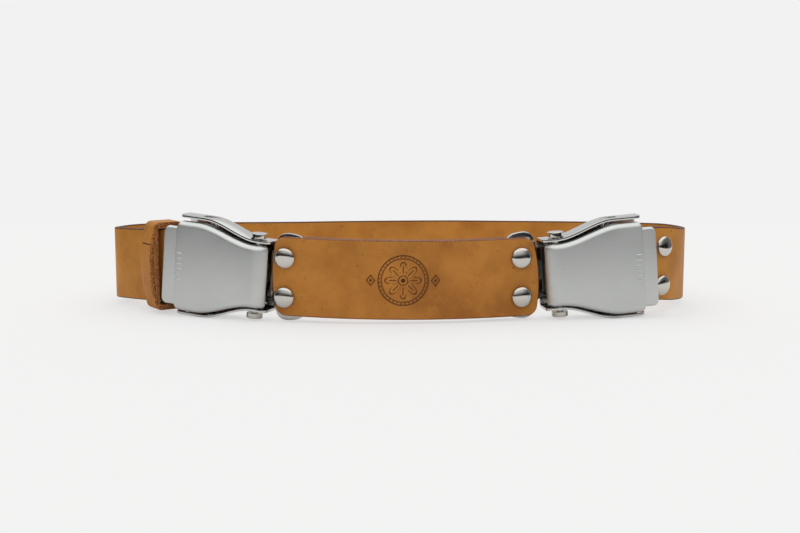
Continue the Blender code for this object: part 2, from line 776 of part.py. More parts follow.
def lever_mesh():
    """The cover: hinge roll round the pin, body with an S-shaped outline, shoulders and finger lip."""
    face = PIN_D - ROLL_RADIUS
    sections = []
    for angle in np.linspace(ROLL_END_ANGLE, math.pi / 2, 7)[:-1]:
        inward = (math.cos(angle), math.sin(angle))
        point = (PIN_U - ROLL_RADIUS * inward[0], PIN_D - ROLL_RADIUS * inward[1])
        half = lever_half(point[0])
        sections.append(lever_section(point, inward, half, ROLL_FLANGE_DEPTH, LEVER_EDGE_RADIUS))
    for u in [PIN_U, *SIDE_STATIONS[2:], SHOULDER_U]:
        towards_shoulder = smooth_step(u, LEVER_S_END, SHOULDER_U)
        depth = LEVER_FLANGE_DEPTH + (SHOULDER_FLANGE_DEPTH - LEVER_FLANGE_DEPTH) * towards_shoulder
        sections.append(lever_section((u, face), (0, 1), lever_half(u), depth, LEVER_EDGE_RADIUS))
    bend_u = SHOULDER_U + SHOULDER_STEP
    for t in (0.0, 0.35, 0.65, 0.82, 0.93, 1.0):
        u = bend_u + (LIP_U_END - bend_u) * t
        into_corner = max(0.0, u - (LIP_U_END - LIP_CORNER))
        half = LIP_HALF - LIP_CORNER + math.sqrt(max(0.0, LIP_CORNER**2 - into_corner**2))
        depth, radius = LEVER_SHEET + LIP_HEM, LEVER_SHEET + LIP_HEM / 2
        sections.append(lever_section((u, face - LIP_LIFT * t), (0, 1), half, depth, radius))
    mesh = loft("lever", sections)
    extras = []
    for sign in (1, -1):
        outline = [(PIN_U - EAR_RADIUS, EAR_TOP_D)]
        for angle in np.linspace(math.pi, 0, 11):
            outline.append((PIN_U + EAR_RADIUS * math.cos(angle), PIN_D + EAR_RADIUS * math.sin(angle)))
        outline.append((PIN_U + EAR_RADIUS, EAR_TOP_D))
        inner = sign * (LEVER_WAIST_HALF - LEVER_SHEET - EAR_INSET)
        outer = sign * (LEVER_WAIST_HALF - EAR_INSET)
        ear = loft("ear", [[(u, d, w) for u, d in outline] for w in (inner, outer)])
        ends = [(PIN_U, PIN_D, w + sign * step) for w, step in ((inner, -0.001), (outer, 0.001))]
        extras.append(combined(ear, [cylinder("pin_hole", PIN_RADIUS + SEAT_GAP, *ends, 16)], "DIFFERENCE"))
    claw_low = (CLAW_U[0], face + LEVER_SHEET / 2, -CLAW_HALF)
    extras.append(block("claw", claw_low, (CLAW_U[1], CLAW_TIP_D, CLAW_HALF)))
    cover = combined(mesh, extras, "UNION")
    cover.transform(Matrix.Translation((-PIN_U, -PIN_D, 0)))
    return cover


def hinge_pin(name):
    shoulder = frame_half(PIN_U + PIN_HEAD_RADIUS) + SEAT_GAP + PIN_PLAY
    end = shoulder + PIN_HEAD_THICK
    half = [
        (0, end),
        (PIN_HEAD_RADIUS - PIN_HEAD_RIM, end),
        (PIN_HEAD_RADIUS, end - PIN_HEAD_RIM),
        (PIN_HEAD_RADIUS, shoulder),
        (PIN_RADIUS, shoulder),
    ]
    return turned(name, [*half, *[(r, -z) for r, z in half[::-1]]], NICKEL, 20)


def strap_bar(name):
    end = frame_half(BAR_U) - BAR_END_INSET
    half = [(0, end), (BAR_RADIUS - BAR_END_RIM, end), (BAR_RADIUS, end - BAR_END_RIM)]
    return turned(name, [*half, *[(r, -z) for r, z in half[::-1]]], NICKEL, 16)


def make_buckle(side):
    """Frame, cover, pin and bar of one buckle, held by an empty at the buckle's own origin."""
    place = BUCKLES[side]
    mount = bpy.data.objects.new(f"{side}_buckle", None)
    belt.objects.link(mount)
    mount.matrix_world = buckle_matrix(place)
    on_pin = (PIN_U, PIN_D, -place["side"] * PIN_PLAY)
    pieces = (
        (add_object(f"{side}_frame", FRAME_MESH, CHROME), (0, 0, 0)),
        (add_object(f"{side}_lever", LEVER_MESH, SATIN_STEEL), on_pin),
        (hinge_pin(f"{side}_hinge_pin"), on_pin),
        (strap_bar(f"{side}_strap_bar"), (BAR_U, BAR_D, 0)),
    )
    for obj, location in pieces:
        obj.parent = mount
        obj.location = location


def make_tongue(side):
    """Steel tongue: a blade inside the buckle, a step, then shoulders and a slot between the plies."""
    place = BUCKLES[side]
    points, run, outward, across = panel_route()
    if side == "right":
        points, outward, across = points[::-1], outward[::-1], across[::-1]
        run = run[-1] - run[::-1]
    behind = PANEL_THICK + SEAT_GAP + TONGUE_SHEET / 2
    slip = place["tongue_slip"]
    centres = [buckle_point(place, row["u"], TONGUE_INNER_D, slip) for row in TONGUE_BLADE]
    ups = [buckle_axes(place)[2] for row in TONGUE_BLADE]
    for row in TONGUE_HEAD:
        s = row["s"]
        up = Vector(at_length(run, across, s))
        face = Vector(at_length(run, points, s)) + up * slip
        centres.append(face - Vector(at_length(run, outward, s)) * behind)
        ups.append(up)
    steps = [(b - a).normalized() for a, b in zip(centres, centres[1:])]
    sections = []
    for i, row in enumerate([*TONGUE_BLADE, *TONGUE_HEAD]):
        mean = steps[max(i - 1, 0)] + steps[min(i, len(steps) - 1)]
        through = mean.cross(ups[i]).normalized()
        thick = TONGUE_SHEET * 2 / mean.length
        sections.append(strip_section(centres[i], ups[i], through, 2 * row["half"], thick, TONGUE_EDGE))
    mesh = loft(f"{side}_tongue", sections)
    matrix = buckle_matrix(place)
    front, rear = TONGUE_INNER_D - CUT_REACH, TONGUE_INNER_D + CUT_REACH
    window = block("window", (WINDOW_U[0], front, -WINDOW_HALF), (WINDOW_U[1], rear, WINDOW_HALF))
    window.transform(matrix)
    middle = sum(TONGUE_SLOT) / 2
    out = Vector(at_length(run, outward, middle))
    up = Vector(at_length(run, across, middle))
    centre = Vector(at_length(run, points, middle)) - out * behind
    reach = TONGUE_SLOT[1] - middle
    slot = block("slot", (-reach, -TONGUE_SLOT_HALF, -CUT_REACH), (reach, TONGUE_SLOT_HALF, CUT_REACH))
    slot.transform(rivet_matrix(centre, out, up))
    add_object(f"{side}_tongue", combined(mesh, [window, slot], "DIFFERENCE"), CHROME)


FRAME_MESH = frame_mesh()
LEVER_MESH = lever_mesh()
for buckle_side in BUCKLES:
    make_buckle(buckle_side)
    make_tongue(buckle_side)
make_strap()
make_keeper()
make_panel()
bpy.data.collections.remove(cutters)
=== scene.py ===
"""The finished look of a closed leather belt with two lift-lever buckles and a riveted centre panel.

Lengths are metres in the belt's own frame: +X to the right, +Z up, and the riveted panel faces -Y.
"""

import json
import math

import bmesh
import bpy
import numpy as np
from mathutils import Matrix, Vector


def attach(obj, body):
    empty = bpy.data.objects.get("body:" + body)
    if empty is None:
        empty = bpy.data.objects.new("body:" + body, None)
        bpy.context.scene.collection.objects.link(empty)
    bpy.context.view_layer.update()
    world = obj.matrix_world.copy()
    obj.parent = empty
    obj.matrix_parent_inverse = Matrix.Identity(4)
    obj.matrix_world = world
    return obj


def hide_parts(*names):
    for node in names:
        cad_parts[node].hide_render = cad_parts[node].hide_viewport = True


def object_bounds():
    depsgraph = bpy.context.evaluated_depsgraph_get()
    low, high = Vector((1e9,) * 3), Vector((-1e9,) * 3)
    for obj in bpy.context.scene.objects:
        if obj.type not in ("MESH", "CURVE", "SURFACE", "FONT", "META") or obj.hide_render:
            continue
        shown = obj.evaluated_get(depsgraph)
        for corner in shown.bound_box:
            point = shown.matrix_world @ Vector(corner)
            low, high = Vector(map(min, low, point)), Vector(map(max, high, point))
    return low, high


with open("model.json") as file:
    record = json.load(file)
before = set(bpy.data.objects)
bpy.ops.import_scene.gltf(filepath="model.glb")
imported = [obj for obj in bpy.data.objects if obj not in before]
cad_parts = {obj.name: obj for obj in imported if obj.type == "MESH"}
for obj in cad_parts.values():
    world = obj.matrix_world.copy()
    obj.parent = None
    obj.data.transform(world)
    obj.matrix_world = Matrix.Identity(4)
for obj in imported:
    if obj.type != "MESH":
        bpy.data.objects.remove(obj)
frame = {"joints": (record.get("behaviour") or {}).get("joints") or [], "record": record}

CAD_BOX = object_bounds()


# Camera
# The photograph was taken from about 0.9 m in front of the belt, a little above it, with a long lens
# whose focal length comes from fitting the belt's edges and both buckles.

PHOTO_WIDTH = 800
FOCAL_LENGTH_PIXELS = 1300
SENSOR_MM = 36.0
NEAR_LIMIT = 0.01
CAMERA_PLACE = (0.0, -0.8894, 0.1537)
CAMERA_TILT = 8.25
camera_data = bpy.data.cameras.new("photo_camera")
camera_data.sensor_width = SENSOR_MM
camera_data.lens = SENSOR_MM * FOCAL_LENGTH_PIXELS / PHOTO_WIDTH
camera_data.clip_start = NEAR_LIMIT
camera = bpy.data.objects.new("photo_camera", camera_data)
camera.location = CAMERA_PLACE
camera.rotation_euler = (math.radians(90.0 - CAMERA_TILT), 0.0, 0.0)
bpy.context.scene.collection.objects.link(camera)
bpy.context.scene.camera = camera


# Studio
# A softly glowing white table, a metre square, stands under an even white sky. The light is broad: brightest
# overhead, bright behind, dimmer in front and at the sides, and dark low down on the viewer's side,
# which puts crisp dark bands into the polished metal.

TABLE_HALF = 0.50
TABLE_FRONT_Y = -0.50
TABLE_DROP = 0.0001
TABLE_COLOUR = "#A9A9A8"
MIRRORED_TABLE_COLOUR = "#F4F4F4"
TABLE_GLOW = 0.55
SKY_COLOUR = "#F2F2F2"
FRONT_LIGHT = 0.80
LOW_FRONT_LIGHT = 0.03
SIDE_LIGHT = 0.25
BACK_LIGHT = 0.84
TOP_LIGHT = 1.40
# How far up, back or aside a direction points where one light fades into the next
FRONT_FADE = (0.02, 0.40)
BACK_FADE = (-0.20, 0.25)
SIDE_FADE = (0.40, 0.90)
TOP_FADE = (0.50, 0.68)
SOFT = {"interpolation_type": "SMOOTHSTEP"}


def linear(hex_colour):
    """The linear RGBA of an sRGB hex colour."""
    values = [int(hex_colour[i : i + 2], 16) / 255 for i in (1, 3, 5)]
    return (*[v / 12.92 if v <= 0.04045 else ((v + 0.055) / 1.055) ** 2.4 for v in values], 1.0)


def feed(tree, node, inputs):
    """Gives inputs, by name or in order, a value, a hex colour, or a link from another node's output."""
    for key, value in inputs.items() if isinstance(inputs, dict) else enumerate(inputs):
        if isinstance(value, bpy.types.NodeSocket):
            tree.links.new(value, node.inputs[key])
        elif isinstance(value, str) and value.startswith("#"):
            node.inputs[key].default_value = linear(value)
        else:
            node.inputs[key].default_value = value


def add_node(tree, kind, inputs=(), **settings):
    """Adds a node with its settings, feeds its inputs, and returns its outputs."""
    made = tree.nodes.new(kind)
    for name, value in settings.items():
        setattr(made, name, value)
    feed(tree, made, inputs)
    return made.outputs


bpy.context.scene.view_settings.view_transform = "Standard"
world = bpy.data.worlds.new("studio")
world.use_nodes = True
sky = world.node_tree
sky.nodes.clear()
direction = add_node(sky, "ShaderNodeTexCoord")["Generated"]
axes = add_node(sky, "ShaderNodeSeparateXYZ", (direction,))
rise = (axes["Z"], *FRONT_FADE, LOW_FRONT_LIGHT, FRONT_LIGHT)
front = add_node(sky, "ShaderNodeMapRange", rise, **SOFT)[0]
behind = add_node(sky, "ShaderNodeMapRange", (axes["Y"], *BACK_FADE), **SOFT)[0]
around = add_node(sky, "ShaderNodeMix", {0: behind, 2: front, 3: BACK_LIGHT}, data_type="FLOAT")[0]
aside = add_node(sky, "ShaderNodeMath", (axes["X"],), operation="ABSOLUTE")[0]
dimmed = add_node(sky, "ShaderNodeMapRange", (aside, *SIDE_FADE, 1.0, SIDE_LIGHT), **SOFT)[0]
sides = add_node(sky, "ShaderNodeMath", (around, dimmed), operation="MULTIPLY")[0]
overhead = add_node(sky, "ShaderNodeMapRange", (axes["Z"], *TOP_FADE), **SOFT)[0]
brightness = add_node(sky, "ShaderNodeMix", {0: overhead, 2: sides, 3: TOP_LIGHT}, data_type="FLOAT")[0]
light = add_node(sky, "ShaderNodeBackground", {"Strength": brightness})[0]
seen = add_node(sky, "ShaderNodeBackground", {"Color": SKY_COLOUR})[0]
by_camera = add_node(sky, "ShaderNodeLightPath")["Is Camera Ray"]
choice = add_node(sky, "ShaderNodeMixShader", (by_camera, light, seen))[0]
add_node(sky, "ShaderNodeOutputWorld", {"Surface": choice})
bpy.context.scene.world = world


def new_material(name):
    """An empty material, its node tree and its Principled shader."""
    made = bpy.data.materials.new(name)
    made.use_nodes = True
    return made, made.node_tree, made.node_tree.nodes["Principled BSDF"]


def lit_acrylic():
    """Matt white acrylic sheet lit from below."""
    # The eye sees the same white everywhere, and only a faint, thin shadow where the belt stands on it.
    # The metal mirrors it as plain white sheet, with the belt's own shadow dark under each rim.
    made, tree, shader = new_material("lit_white_acrylic")
    seen = add_node(tree, "ShaderNodeLightPath")["Is Camera Ray"]
    whites = {0: seen, 6: MIRRORED_TABLE_COLOUR, 7: TABLE_COLOUR}
    white = add_node(tree, "ShaderNodeMix", whites, data_type="RGBA")[2]
    glow = add_node(tree, "ShaderNodeMath", (seen, TABLE_GLOW), operation="MULTIPLY")[0]
    feed(tree, shader, {"Base Color": white, "Roughness": 0.9, "Specular IOR Level": 0.0})
    feed(tree, shader, {"Emission Color": "#FFFFFF", "Emission Strength": glow})
    return made


table_mesh = bpy.data.meshes.new("table")
work = bmesh.new()
bmesh.ops.create_grid(work, x_segments=1, y_segments=1, size=TABLE_HALF)
work.to_mesh(table_mesh)
work.free()
table_mesh.materials.append(lit_acrylic())
table = bpy.data.objects.new("table", table_mesh)
table.location = (0.0, TABLE_FRONT_Y + TABLE_HALF, CAD_BOX[0][2] - TABLE_DROP)
bpy.context.scene.collection.objects.link(table)


# Buckle frames
# Each buckle's body is a channel pressed from steel sheet, polished and chromed. It is narrow at the
# hinge and flares towards the strap, with a slot in each side wall for the bar and a hole for the pin.

FRAME_SHEET = 0.0016
FRAME_HINGE_HALF = 0.0230
FRAME_FLARE_HALF = 0.0325
FRAME_FLARE_U = (0.0100, 0.0475)
FRAME_U = (0.0006, 0.0672)
FRAME_D = (0.0042, 0.0215)
FRAME_BEND = 0.0030
WALL_END_ROUND = 0.0060
HINGE_END_ROUND = 0.0030
PIN_U = 0.0105
PIN_D = 0.0095
PIN_RADIUS = 0.0023
PIN_PLAY = 0.0004
BAR_U = 0.0448
BAR_D = 0.0124
BAR_RADIUS = 0.0027
SLOT_U = (0.0418, 0.0524)
SEAT_GAP = 0.0003
CUT_REACH = 0.0040
FRAME_EASE = 0.00025
CREASE = math.radians(32)
EASED_CREASE = math.radians(50)
EASED_ABOVE = math.radians(40)


def smooth_step(value, start, end):
    """0 before the start, 1 after the end, and an even S between them."""
    t = np.clip((value - start) / (end - start), 0.0, 1.0)
    return t * t * (3 - 2 * t)


def frame_half(u):
    """Half the width over the frame's side walls."""
    return FRAME_HINGE_HALF + (FRAME_FLARE_HALF - FRAME_HINGE_HALF) * smooth_step(u, *FRAME_FLARE_U)


def buckle_place(side):
    """Origin and directions u, d and w of a buckle, found from its hinge and the flat back of its frame."""
    hinge = next(j for j in frame["joints"] if j["name"] == f"{side}_lever_hinge")
    flat = next(m for m in frame["record"]["mounts"] if m["name"] == f"{side}_buckle_back")
    hand = -1 if side == "left" else 1
    back = Vector(flat["axis"])
    across = Vector(hinge["axis"]) * -hand
    along = back.cross(across) * hand
    origin = Vector(hinge["pos_m"]) - along * PIN_U - back * PIN_D
    return origin, along, back, across, hand


PLACES = {side: buckle_place(side) for side in ("left", "right")}


def buckle_point(side, u, d, w=0.0):
    """A place in a buckle, given along it, back from its face and across the strap."""
    origin, along, back, across, _ = PLACES[side]
    return origin + along * u + back * d + across * w


def buckle_matrix(side, u=0.0, d=0.0, w=0.0):
    """Turns a mesh made in u, d and w into its place. The left buckle is the same part turned over."""
    _, along, back, across, hand = PLACES[side]
    turn = Matrix((along, back, across * hand)).transposed().to_4x4()
    return Matrix.Translation(buckle_point(side, u, d, w)) @ turn


def shaded(mesh, crease):
    """The mesh shaded smooth, with a crease where its faces meet at more than an angle."""
    mesh.shade_smooth()
    mesh.set_sharp_from_angle(angle=crease)
    return mesh


def mesh_from(work, name, crease=CREASE):
    """The finished mesh, with its faces turned outwards."""
    bmesh.ops.recalc_face_normals(work, faces=work.faces)
    mesh = bpy.data.meshes.new(name)
    work.to_mesh(mesh)
    work.free()
    return shaded(mesh, crease)


def mark(mesh, name, values):
    """Stores one number for each vertex, which a material or a tree reads by name."""
    attribute = mesh.attributes.new(name, "FLOAT", "POINT")
    attribute.data.foreach_set("value", np.asarray(values, dtype=np.float32))


def loft(name, sections, ring=False, crease=CREASE, **marks):
    """A closed mesh through loops of as many points each. A ring joins its last loop to its first."""
    work = bmesh.new()
    loops = [[work.verts.new(Vector(point)) for point in section] for section in sections]
    count = len(loops[0])
    pairs = list(zip(loops, loops[1:]))
    if ring:
        pairs.append((loops[-1], loops[0]))
    for one, two in pairs:
        for i in range(count):
            j = (i + 1) % count
            work.faces.new((one[i], one[j], two[j], two[i]))
    if not ring:
        work.faces.new(loops[0])
        work.faces.new(loops[-1])
    mesh = mesh_from(work, name, crease)
    for title, values in marks.items():
        mark(mesh, title, values)
    return mesh


def block(name, low, high):
    """A block between two corners, which cuts a slot or becomes the claw."""
    work = bmesh.new()
    size = Vector(high) - Vector(low)
    place = Matrix.Translation((Vector(low) + Vector(high)) / 2) @ Matrix.Diagonal((*size, 1.0))
    bmesh.ops.create_cube(work, size=1.0, matrix=place)
    return mesh_from(work, name)


def cylinder(name, radius, start, end, sides=48):
    """A round bar between two points, which bores a hole."""
    work = bmesh.new()
    run = Vector(end) - Vector(start)
    turn = Vector((0, 0, 1)).rotation_difference(run).to_matrix().to_4x4()
    place = Matrix.Translation((Vector(start) + Vector(end)) / 2) @ turn
    bmesh.ops.create_cone(
        work, cap_ends=True, segments=sides, radius1=radius, radius2=radius, depth=run.length, matrix=place
    )
    return mesh_from(work, name)


def new_object(name, mesh, finish=None):
    """Puts a mesh in the scene, in one material where one is given."""
    obj = bpy.data.objects.new(name, mesh)
    bpy.context.scene.collection.objects.link(obj)
    if finish:
        mesh.materials.clear()
        mesh.materials.append(finish)
    return obj


def baked(obj):
    """The object's mesh with its modifiers applied. The object is removed."""
    bpy.context.view_layer.update()
    mesh = bpy.data.meshes.new_from_object(obj.evaluated_get(bpy.context.evaluated_depsgraph_get()))
    bpy.data.objects.remove(obj, do_unlink=True)
    return mesh


def combined(base, others, operation):
    """The mesh of a base with other meshes joined to it or cut from it."""
    for other in others:
        body = new_object("body", base)
        tool = new_object("tool", other)
        modifier = body.modifiers.new("combine", "BOOLEAN")
        modifier.operation = operation
        modifier.object = tool
        base = baked(body)
        bpy.data.objects.remove(tool, do_unlink=True)
    return base


def eased(mesh, width, segments=2):
    """The mesh with its sharp edges broken, as tumbling leaves them."""
    obj = new_object("eased", mesh)
    bevel = obj.modifiers.new("ease", "BEVEL")
    bevel.width = width
    bevel.segments = segments
    bevel.limit_method = "ANGLE"
    bevel.angle_limit = EASED_ABOVE
    bevel.use_clamp_overlap = True
    return shaded(baked(obj), EASED_CREASE)


def arc(centre, radius, start, end, steps):
    """Points round a centre, from one angle in degrees to another."""
    angles = np.radians(np.linspace(start, end, steps))
    return [(centre[0] + radius * math.cos(a), centre[1] + radius * math.sin(a)) for a in angles]


def bent_sheet(half, edge, face, radius, sheet, steps):
    """Outline in w and d of sheet with its face at one depth and both its sides bent to another."""

    def side(sign, inset):
        bend = arc((half - radius, face - radius), radius - inset, 0, 90, steps)
        return [(sign * w, d) for w, d in [(half - inset, edge), *bend]]

    outer = [*side(1, 0.0), *side(-1, 0.0)[::-1]]
    return [*outer, *side(-1, sheet), *side(1, sheet)[::-1]]


def frame_front(u):
    """Front edge of the side walls, rounded off at both ends."""
    wide = max(0.0, u - (FRAME_U[1] - WALL_END_ROUND)) / WALL_END_ROUND
    hinge = max(0.0, FRAME_U[0] + HINGE_END_ROUND - u) / HINGE_END_ROUND
    rise = WALL_END_ROUND * (1 - math.sqrt(1 - wide**2)) + HINGE_END_ROUND * (1 - math.sqrt(1 - hinge**2))
    return FRAME_D[0] + rise


def frame_mesh():
    """The bent channel, with the bar's slots and the pin's holes cut through its side walls."""
    quarter = np.sin(np.linspace(0, math.pi / 2, 9))
    hinge_end = FRAME_U[0] + HINGE_END_ROUND * (1 - quarter[::-1])
    wide_end = FRAME_U[1] - WALL_END_ROUND * (1 - quarter)
    middle = np.linspace(hinge_end[-1], wide_end[0], 44)[1:-1]
    sections = []
    for u in [*hinge_end, *middle, *wide_end]:
        outline = bent_sheet(frame_half(u), frame_front(u), FRAME_D[1], FRAME_BEND, FRAME_SHEET, 8)
        sections.append([(u, d, w) for w, d in outline])
    reach = FRAME_FLARE_HALF + CUT_REACH
    low = (SLOT_U[0], BAR_D - BAR_RADIUS - SEAT_GAP, -reach)
    slot = block("slot", low, (SLOT_U[1], BAR_D + BAR_RADIUS + SEAT_GAP, reach))
    hole = cylinder("hole", PIN_RADIUS + SEAT_GAP, (PIN_U, PIN_D, -reach), (PIN_U, PIN_D, reach))
    return eased(combined(loft("frame", sections), [slot, hole], "DIFFERENCE"), FRAME_EASE)


def polished_chrome():
    """Chrome plate on buffed pressed steel."""
    # A hard pale mirror with black gaps and white rims, a little dulled by handling in patches of 12 mm,
    # over the faint 6 mm ripple of buffed sheet.
    made, tree, shader = new_material("polished_chrome")
    place = add_node(tree, "ShaderNodeTexCoord")["Object"]
    smudge = add_node(tree, "ShaderNodeTexNoise", {"Vector": place, "Scale": 1 / 0.012, "Detail": 4.0})[0]
    ripple = add_node(tree, "ShaderNodeTexNoise", {"Vector": place, "Scale": 1 / 0.006})[0]
    bump = add_node(tree, "ShaderNodeBump", {"Height": ripple, "Strength": 0.05, "Distance": 0.0004})[0]
    dulled = add_node(tree, "ShaderNodeMapRange", (smudge, 0.35, 0.7, 0.07, 0.17))[0]
    feed(tree, shader, {"Base Color": "#D6D7D5", "Metallic": 1.0, "Roughness": dulled, "Normal": bump})
    return made


CHROME = polished_chrome()


def fit_piece(obj, body, slot, *nodes):
    """Sets a finished piece on its body and hides the frame's nodes that it stands for. Its slot is not used.
    """
    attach(obj, body)
    if nodes:
        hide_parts(*nodes)


for side in PLACES:
    mesh = frame_mesh()
    mesh.transform(buckle_matrix(side))
    fit_piece(new_object(f"{side}_buckle_frame", mesh, CHROME), "belt", "chrome", f"{side}_frame")


# Levers
# The cover that is lifted to open a buckle: 1.5 mm steel sheet with rolled edges and a satin finish. It
# turns on the pin with a roll and two ears, and a claw under it holds the tongue. Small raised ticks near
# the lip, pressed from behind, give the finger a grip.

LEVER_SHEET = 0.0015
LEVER_WAIST_HALF = 0.0201
LEVER_FLARE_HALF = 0.0294
LEVER_FLARE_U = (0.010, 0.051)
HINGE_FLARE = 0.0005
HINGE_FLARE_END = 0.008
LEVER_FLANGE = 0.0068
ROLL_FLANGE = 0.0058
SHOULDER_FLANGE = 0.0048
LEVER_EDGE = 0.0038
SHOULDER_U = 0.0655
SHOULDER_ROUND = 0.0026
LIP_HALF = 0.0257
LIP_START_U = 0.0660
LIP_END_U = 0.0738
LIP_CORNER = 0.0030
LIP_LIFT = 0.0009
LIP_EDGE = 0.0017
ROLL_RADIUS = 0.0094
ROLL_END = math.radians(21)
FLANGE_SPARE = 0.0001
EAR_RADIUS = 0.0050
EAR_INSET = 0.0004
EAR_TOP_D = 0.0044
HOLE_REACH = 0.0010
LEVER_EASE = 0.0002
CLAW_U = (0.0135, 0.0170)
CLAW_HALF = 0.0070
CLAW_TIP_D = 0.0186
TICK_U = 0.0628
TICK_COUNT = 6
TICK_STEP = 0.0034
TICK_SIZE = (0.0024, 0.0009, 0.0006)
FACE_D = PIN_D - ROLL_RADIUS


def lever_half(u):
    """Narrowest behind the hinge, a little wider at the roll and much wider at the shoulders."""
    rise = (LEVER_FLARE_HALF - LEVER_WAIST_HALF) * smooth_step(u, *LEVER_FLARE_U)
    return LEVER_WAIST_HALF + rise + HINGE_FLARE * (1 - smooth_step(u, 0.0, HINGE_FLARE_END))


def lever_section(point, inward, half, depth, radius):
    """The cover's sheet with its edges rolled over, square to the cover's run."""
    outline = bent_sheet(half, -depth, 0.0, radius, LEVER_SHEET, 9)
    return [(point[0] - inward[0] * d, point[1] - inward[1] * d, w) for w, d in outline]


def cover_shell():
    """Roll round the pin, body with its S-shaped outline, rounded shoulders and the finger lip."""
    sections = []
    for angle in np.linspace(ROLL_END, math.pi / 2, 16)[:-1]:
        inward = (math.cos(angle), math.sin(angle))
        point = (PIN_U - ROLL_RADIUS * inward[0], PIN_D - ROLL_RADIUS * inward[1])
        sections.append(lever_section(point, inward, lever_half(point[0]), ROLL_FLANGE, LEVER_EDGE))
    round_start = SHOULDER_U - SHOULDER_ROUND
    for u in np.linspace(PIN_U, round_start, 40):
        depth = LEVER_FLANGE + (SHOULDER_FLANGE - LEVER_FLANGE) * smooth_step(u, LEVER_FLARE_U[1], SHOULDER_U)
        sections.append(lever_section((u, FACE_D), (0, 1), lever_half(u), depth, LEVER_EDGE))
    for a in np.linspace(0, math.pi / 2, 10)[1:]:
        u = round_start + SHOULDER_ROUND * math.sin(a)
        half = LEVER_FLARE_HALF - SHOULDER_ROUND * (1 - math.cos(a))
        sections.append(lever_section((u, FACE_D), (0, 1), half, LEVER_EDGE + FLANGE_SPARE, LEVER_EDGE))
    corner = LIP_END_U - LIP_CORNER + LIP_CORNER * np.sin(np.linspace(0, math.pi / 2, 9))
    for u in [*np.linspace(LIP_START_U, corner[0], 5)[:-1], *corner]:
        into = max(0.0, u - (LIP_END_U - LIP_CORNER))
        half = LIP_HALF - LIP_CORNER + math.sqrt(max(0.0, LIP_CORNER**2 - into**2))
        lift = LIP_LIFT * (u - LIP_START_U) / (LIP_END_U - LIP_START_U)
        sections.append(lever_section((u, FACE_D - lift), (0, 1), half, LIP_EDGE + FLANGE_SPARE, LIP_EDGE))
    return loft("cover", sections)


def lever_mesh():
    """The cover with its two pierced ears and its claw."""
    extras = []
    for sign in (1, -1):
        top = [(PIN_U + hand * EAR_RADIUS, EAR_TOP_D) for hand in (-1, 1)]
        outline = [top[0], *arc((PIN_U, PIN_D), EAR_RADIUS, 180, 0, 25), top[1]]
        inner = sign * (LEVER_WAIST_HALF - LEVER_SHEET - EAR_INSET)
        outer = sign * (LEVER_WAIST_HALF - EAR_INSET)
        ear = loft("ear", [[(u, d, w) for u, d in outline] for w in (inner, outer)])
        ends = [(PIN_U, PIN_D, w) for w in (inner - sign * HOLE_REACH, outer + sign * HOLE_REACH)]
        extras.append(combined(ear, [cylinder("hole", PIN_RADIUS + SEAT_GAP, *ends)], "DIFFERENCE"))
    claw_low = (CLAW_U[0], FACE_D + LEVER_SHEET / 2, -CLAW_HALF)
    extras.append(block("claw", claw_low, (CLAW_U[1], CLAW_TIP_D, CLAW_HALF)))
    return eased(combined(cover_shell(), extras, "UNION"), LEVER_EASE)


def new_tree(name, *sizes):
    """A geometry tree with a named input for each size and for the finish. Returns its inputs too."""
    tree = bpy.data.node_groups.new(name, "GeometryNodeTree")
    for title, kind, value in (("Geometry", "Geometry", None), *sizes, ("Finish", "Material", None)):
        socket = tree.interface.new_socket(name=title, in_out="INPUT", socket_type=f"NodeSocket{kind}")
        if value is not None:
            socket.default_value = value
    tree.interface.new_socket(name="Geometry", in_out="OUTPUT", socket_type="NodeSocketGeometry")
    return tree, add_node(tree, "NodeGroupInput")


def close_tree(tree, given, geometry):
    """Ends a tree: what it placed becomes real and takes the tree's finish."""
    real = add_node(tree, "GeometryNodeRealizeInstances", {"Geometry": geometry})[0]
    finished = add_node(tree, "GeometryNodeSetMaterial", {"Geometry": real, "Material": given["Finish"]})[0]
    add_node(tree, "NodeGroupOutput", {"Geometry": finished})
    return tree


def grown(name, tree, values, source=None):
    """A mesh that a tree makes of a source mesh. Inputs are set by their sockets' identifiers."""
    obj = new_object(name, source or bpy.data.meshes.new(name))
    modifier = obj.modifiers.new("grow", "NODES")
    modifier.node_group = tree
    for item in tree.interface.items_tree:
        if item.in_out == "INPUT" and item.name in values:
            modifier[item.identifier] = values[item.name]
    mesh = baked(obj)
    mesh.name = name
    return mesh


def tick_tree():
    """A row of small raised ellipsoids along Z, centred on the origin."""
    sizes = (("Count", "Int", TICK_COUNT), ("Step", "Float", TICK_STEP), ("Size", "Vector", TICK_SIZE))
    tree, given = new_tree("tick_row", *sizes)
    gaps = add_node(tree, "ShaderNodeMath", (given["Count"], 1.0), operation="SUBTRACT")[0]
    half = add_node(tree, "ShaderNodeMath", (gaps, -0.5), operation="MULTIPLY")[0]
    first = add_node(tree, "ShaderNodeMath", (half, given["Step"]), operation="MULTIPLY")[0]
    start = add_node(tree, "ShaderNodeCombineXYZ", {"Z": first})[0]
    offset = add_node(tree, "ShaderNodeCombineXYZ", {"Z": given["Step"]})[0]
    spots = {"Count": given["Count"], "Start Location": start, "Offset": offset}
    line = add_node(tree, "GeometryNodeMeshLine", spots)[0]
    ball = add_node(tree, "GeometryNodeMeshUVSphere", {"Segments": 20, "Rings": 12, "Radius": 1.0})["Mesh"]
    smooth = add_node(tree, "GeometryNodeSetShadeSmooth", {"Geometry": ball})[0]
    row = {"Points": line, "Instance": smooth, "Scale": given["Size"]}
    return close_tree(tree, given, add_node(tree, "GeometryNodeInstanceOnPoints", row)[0])


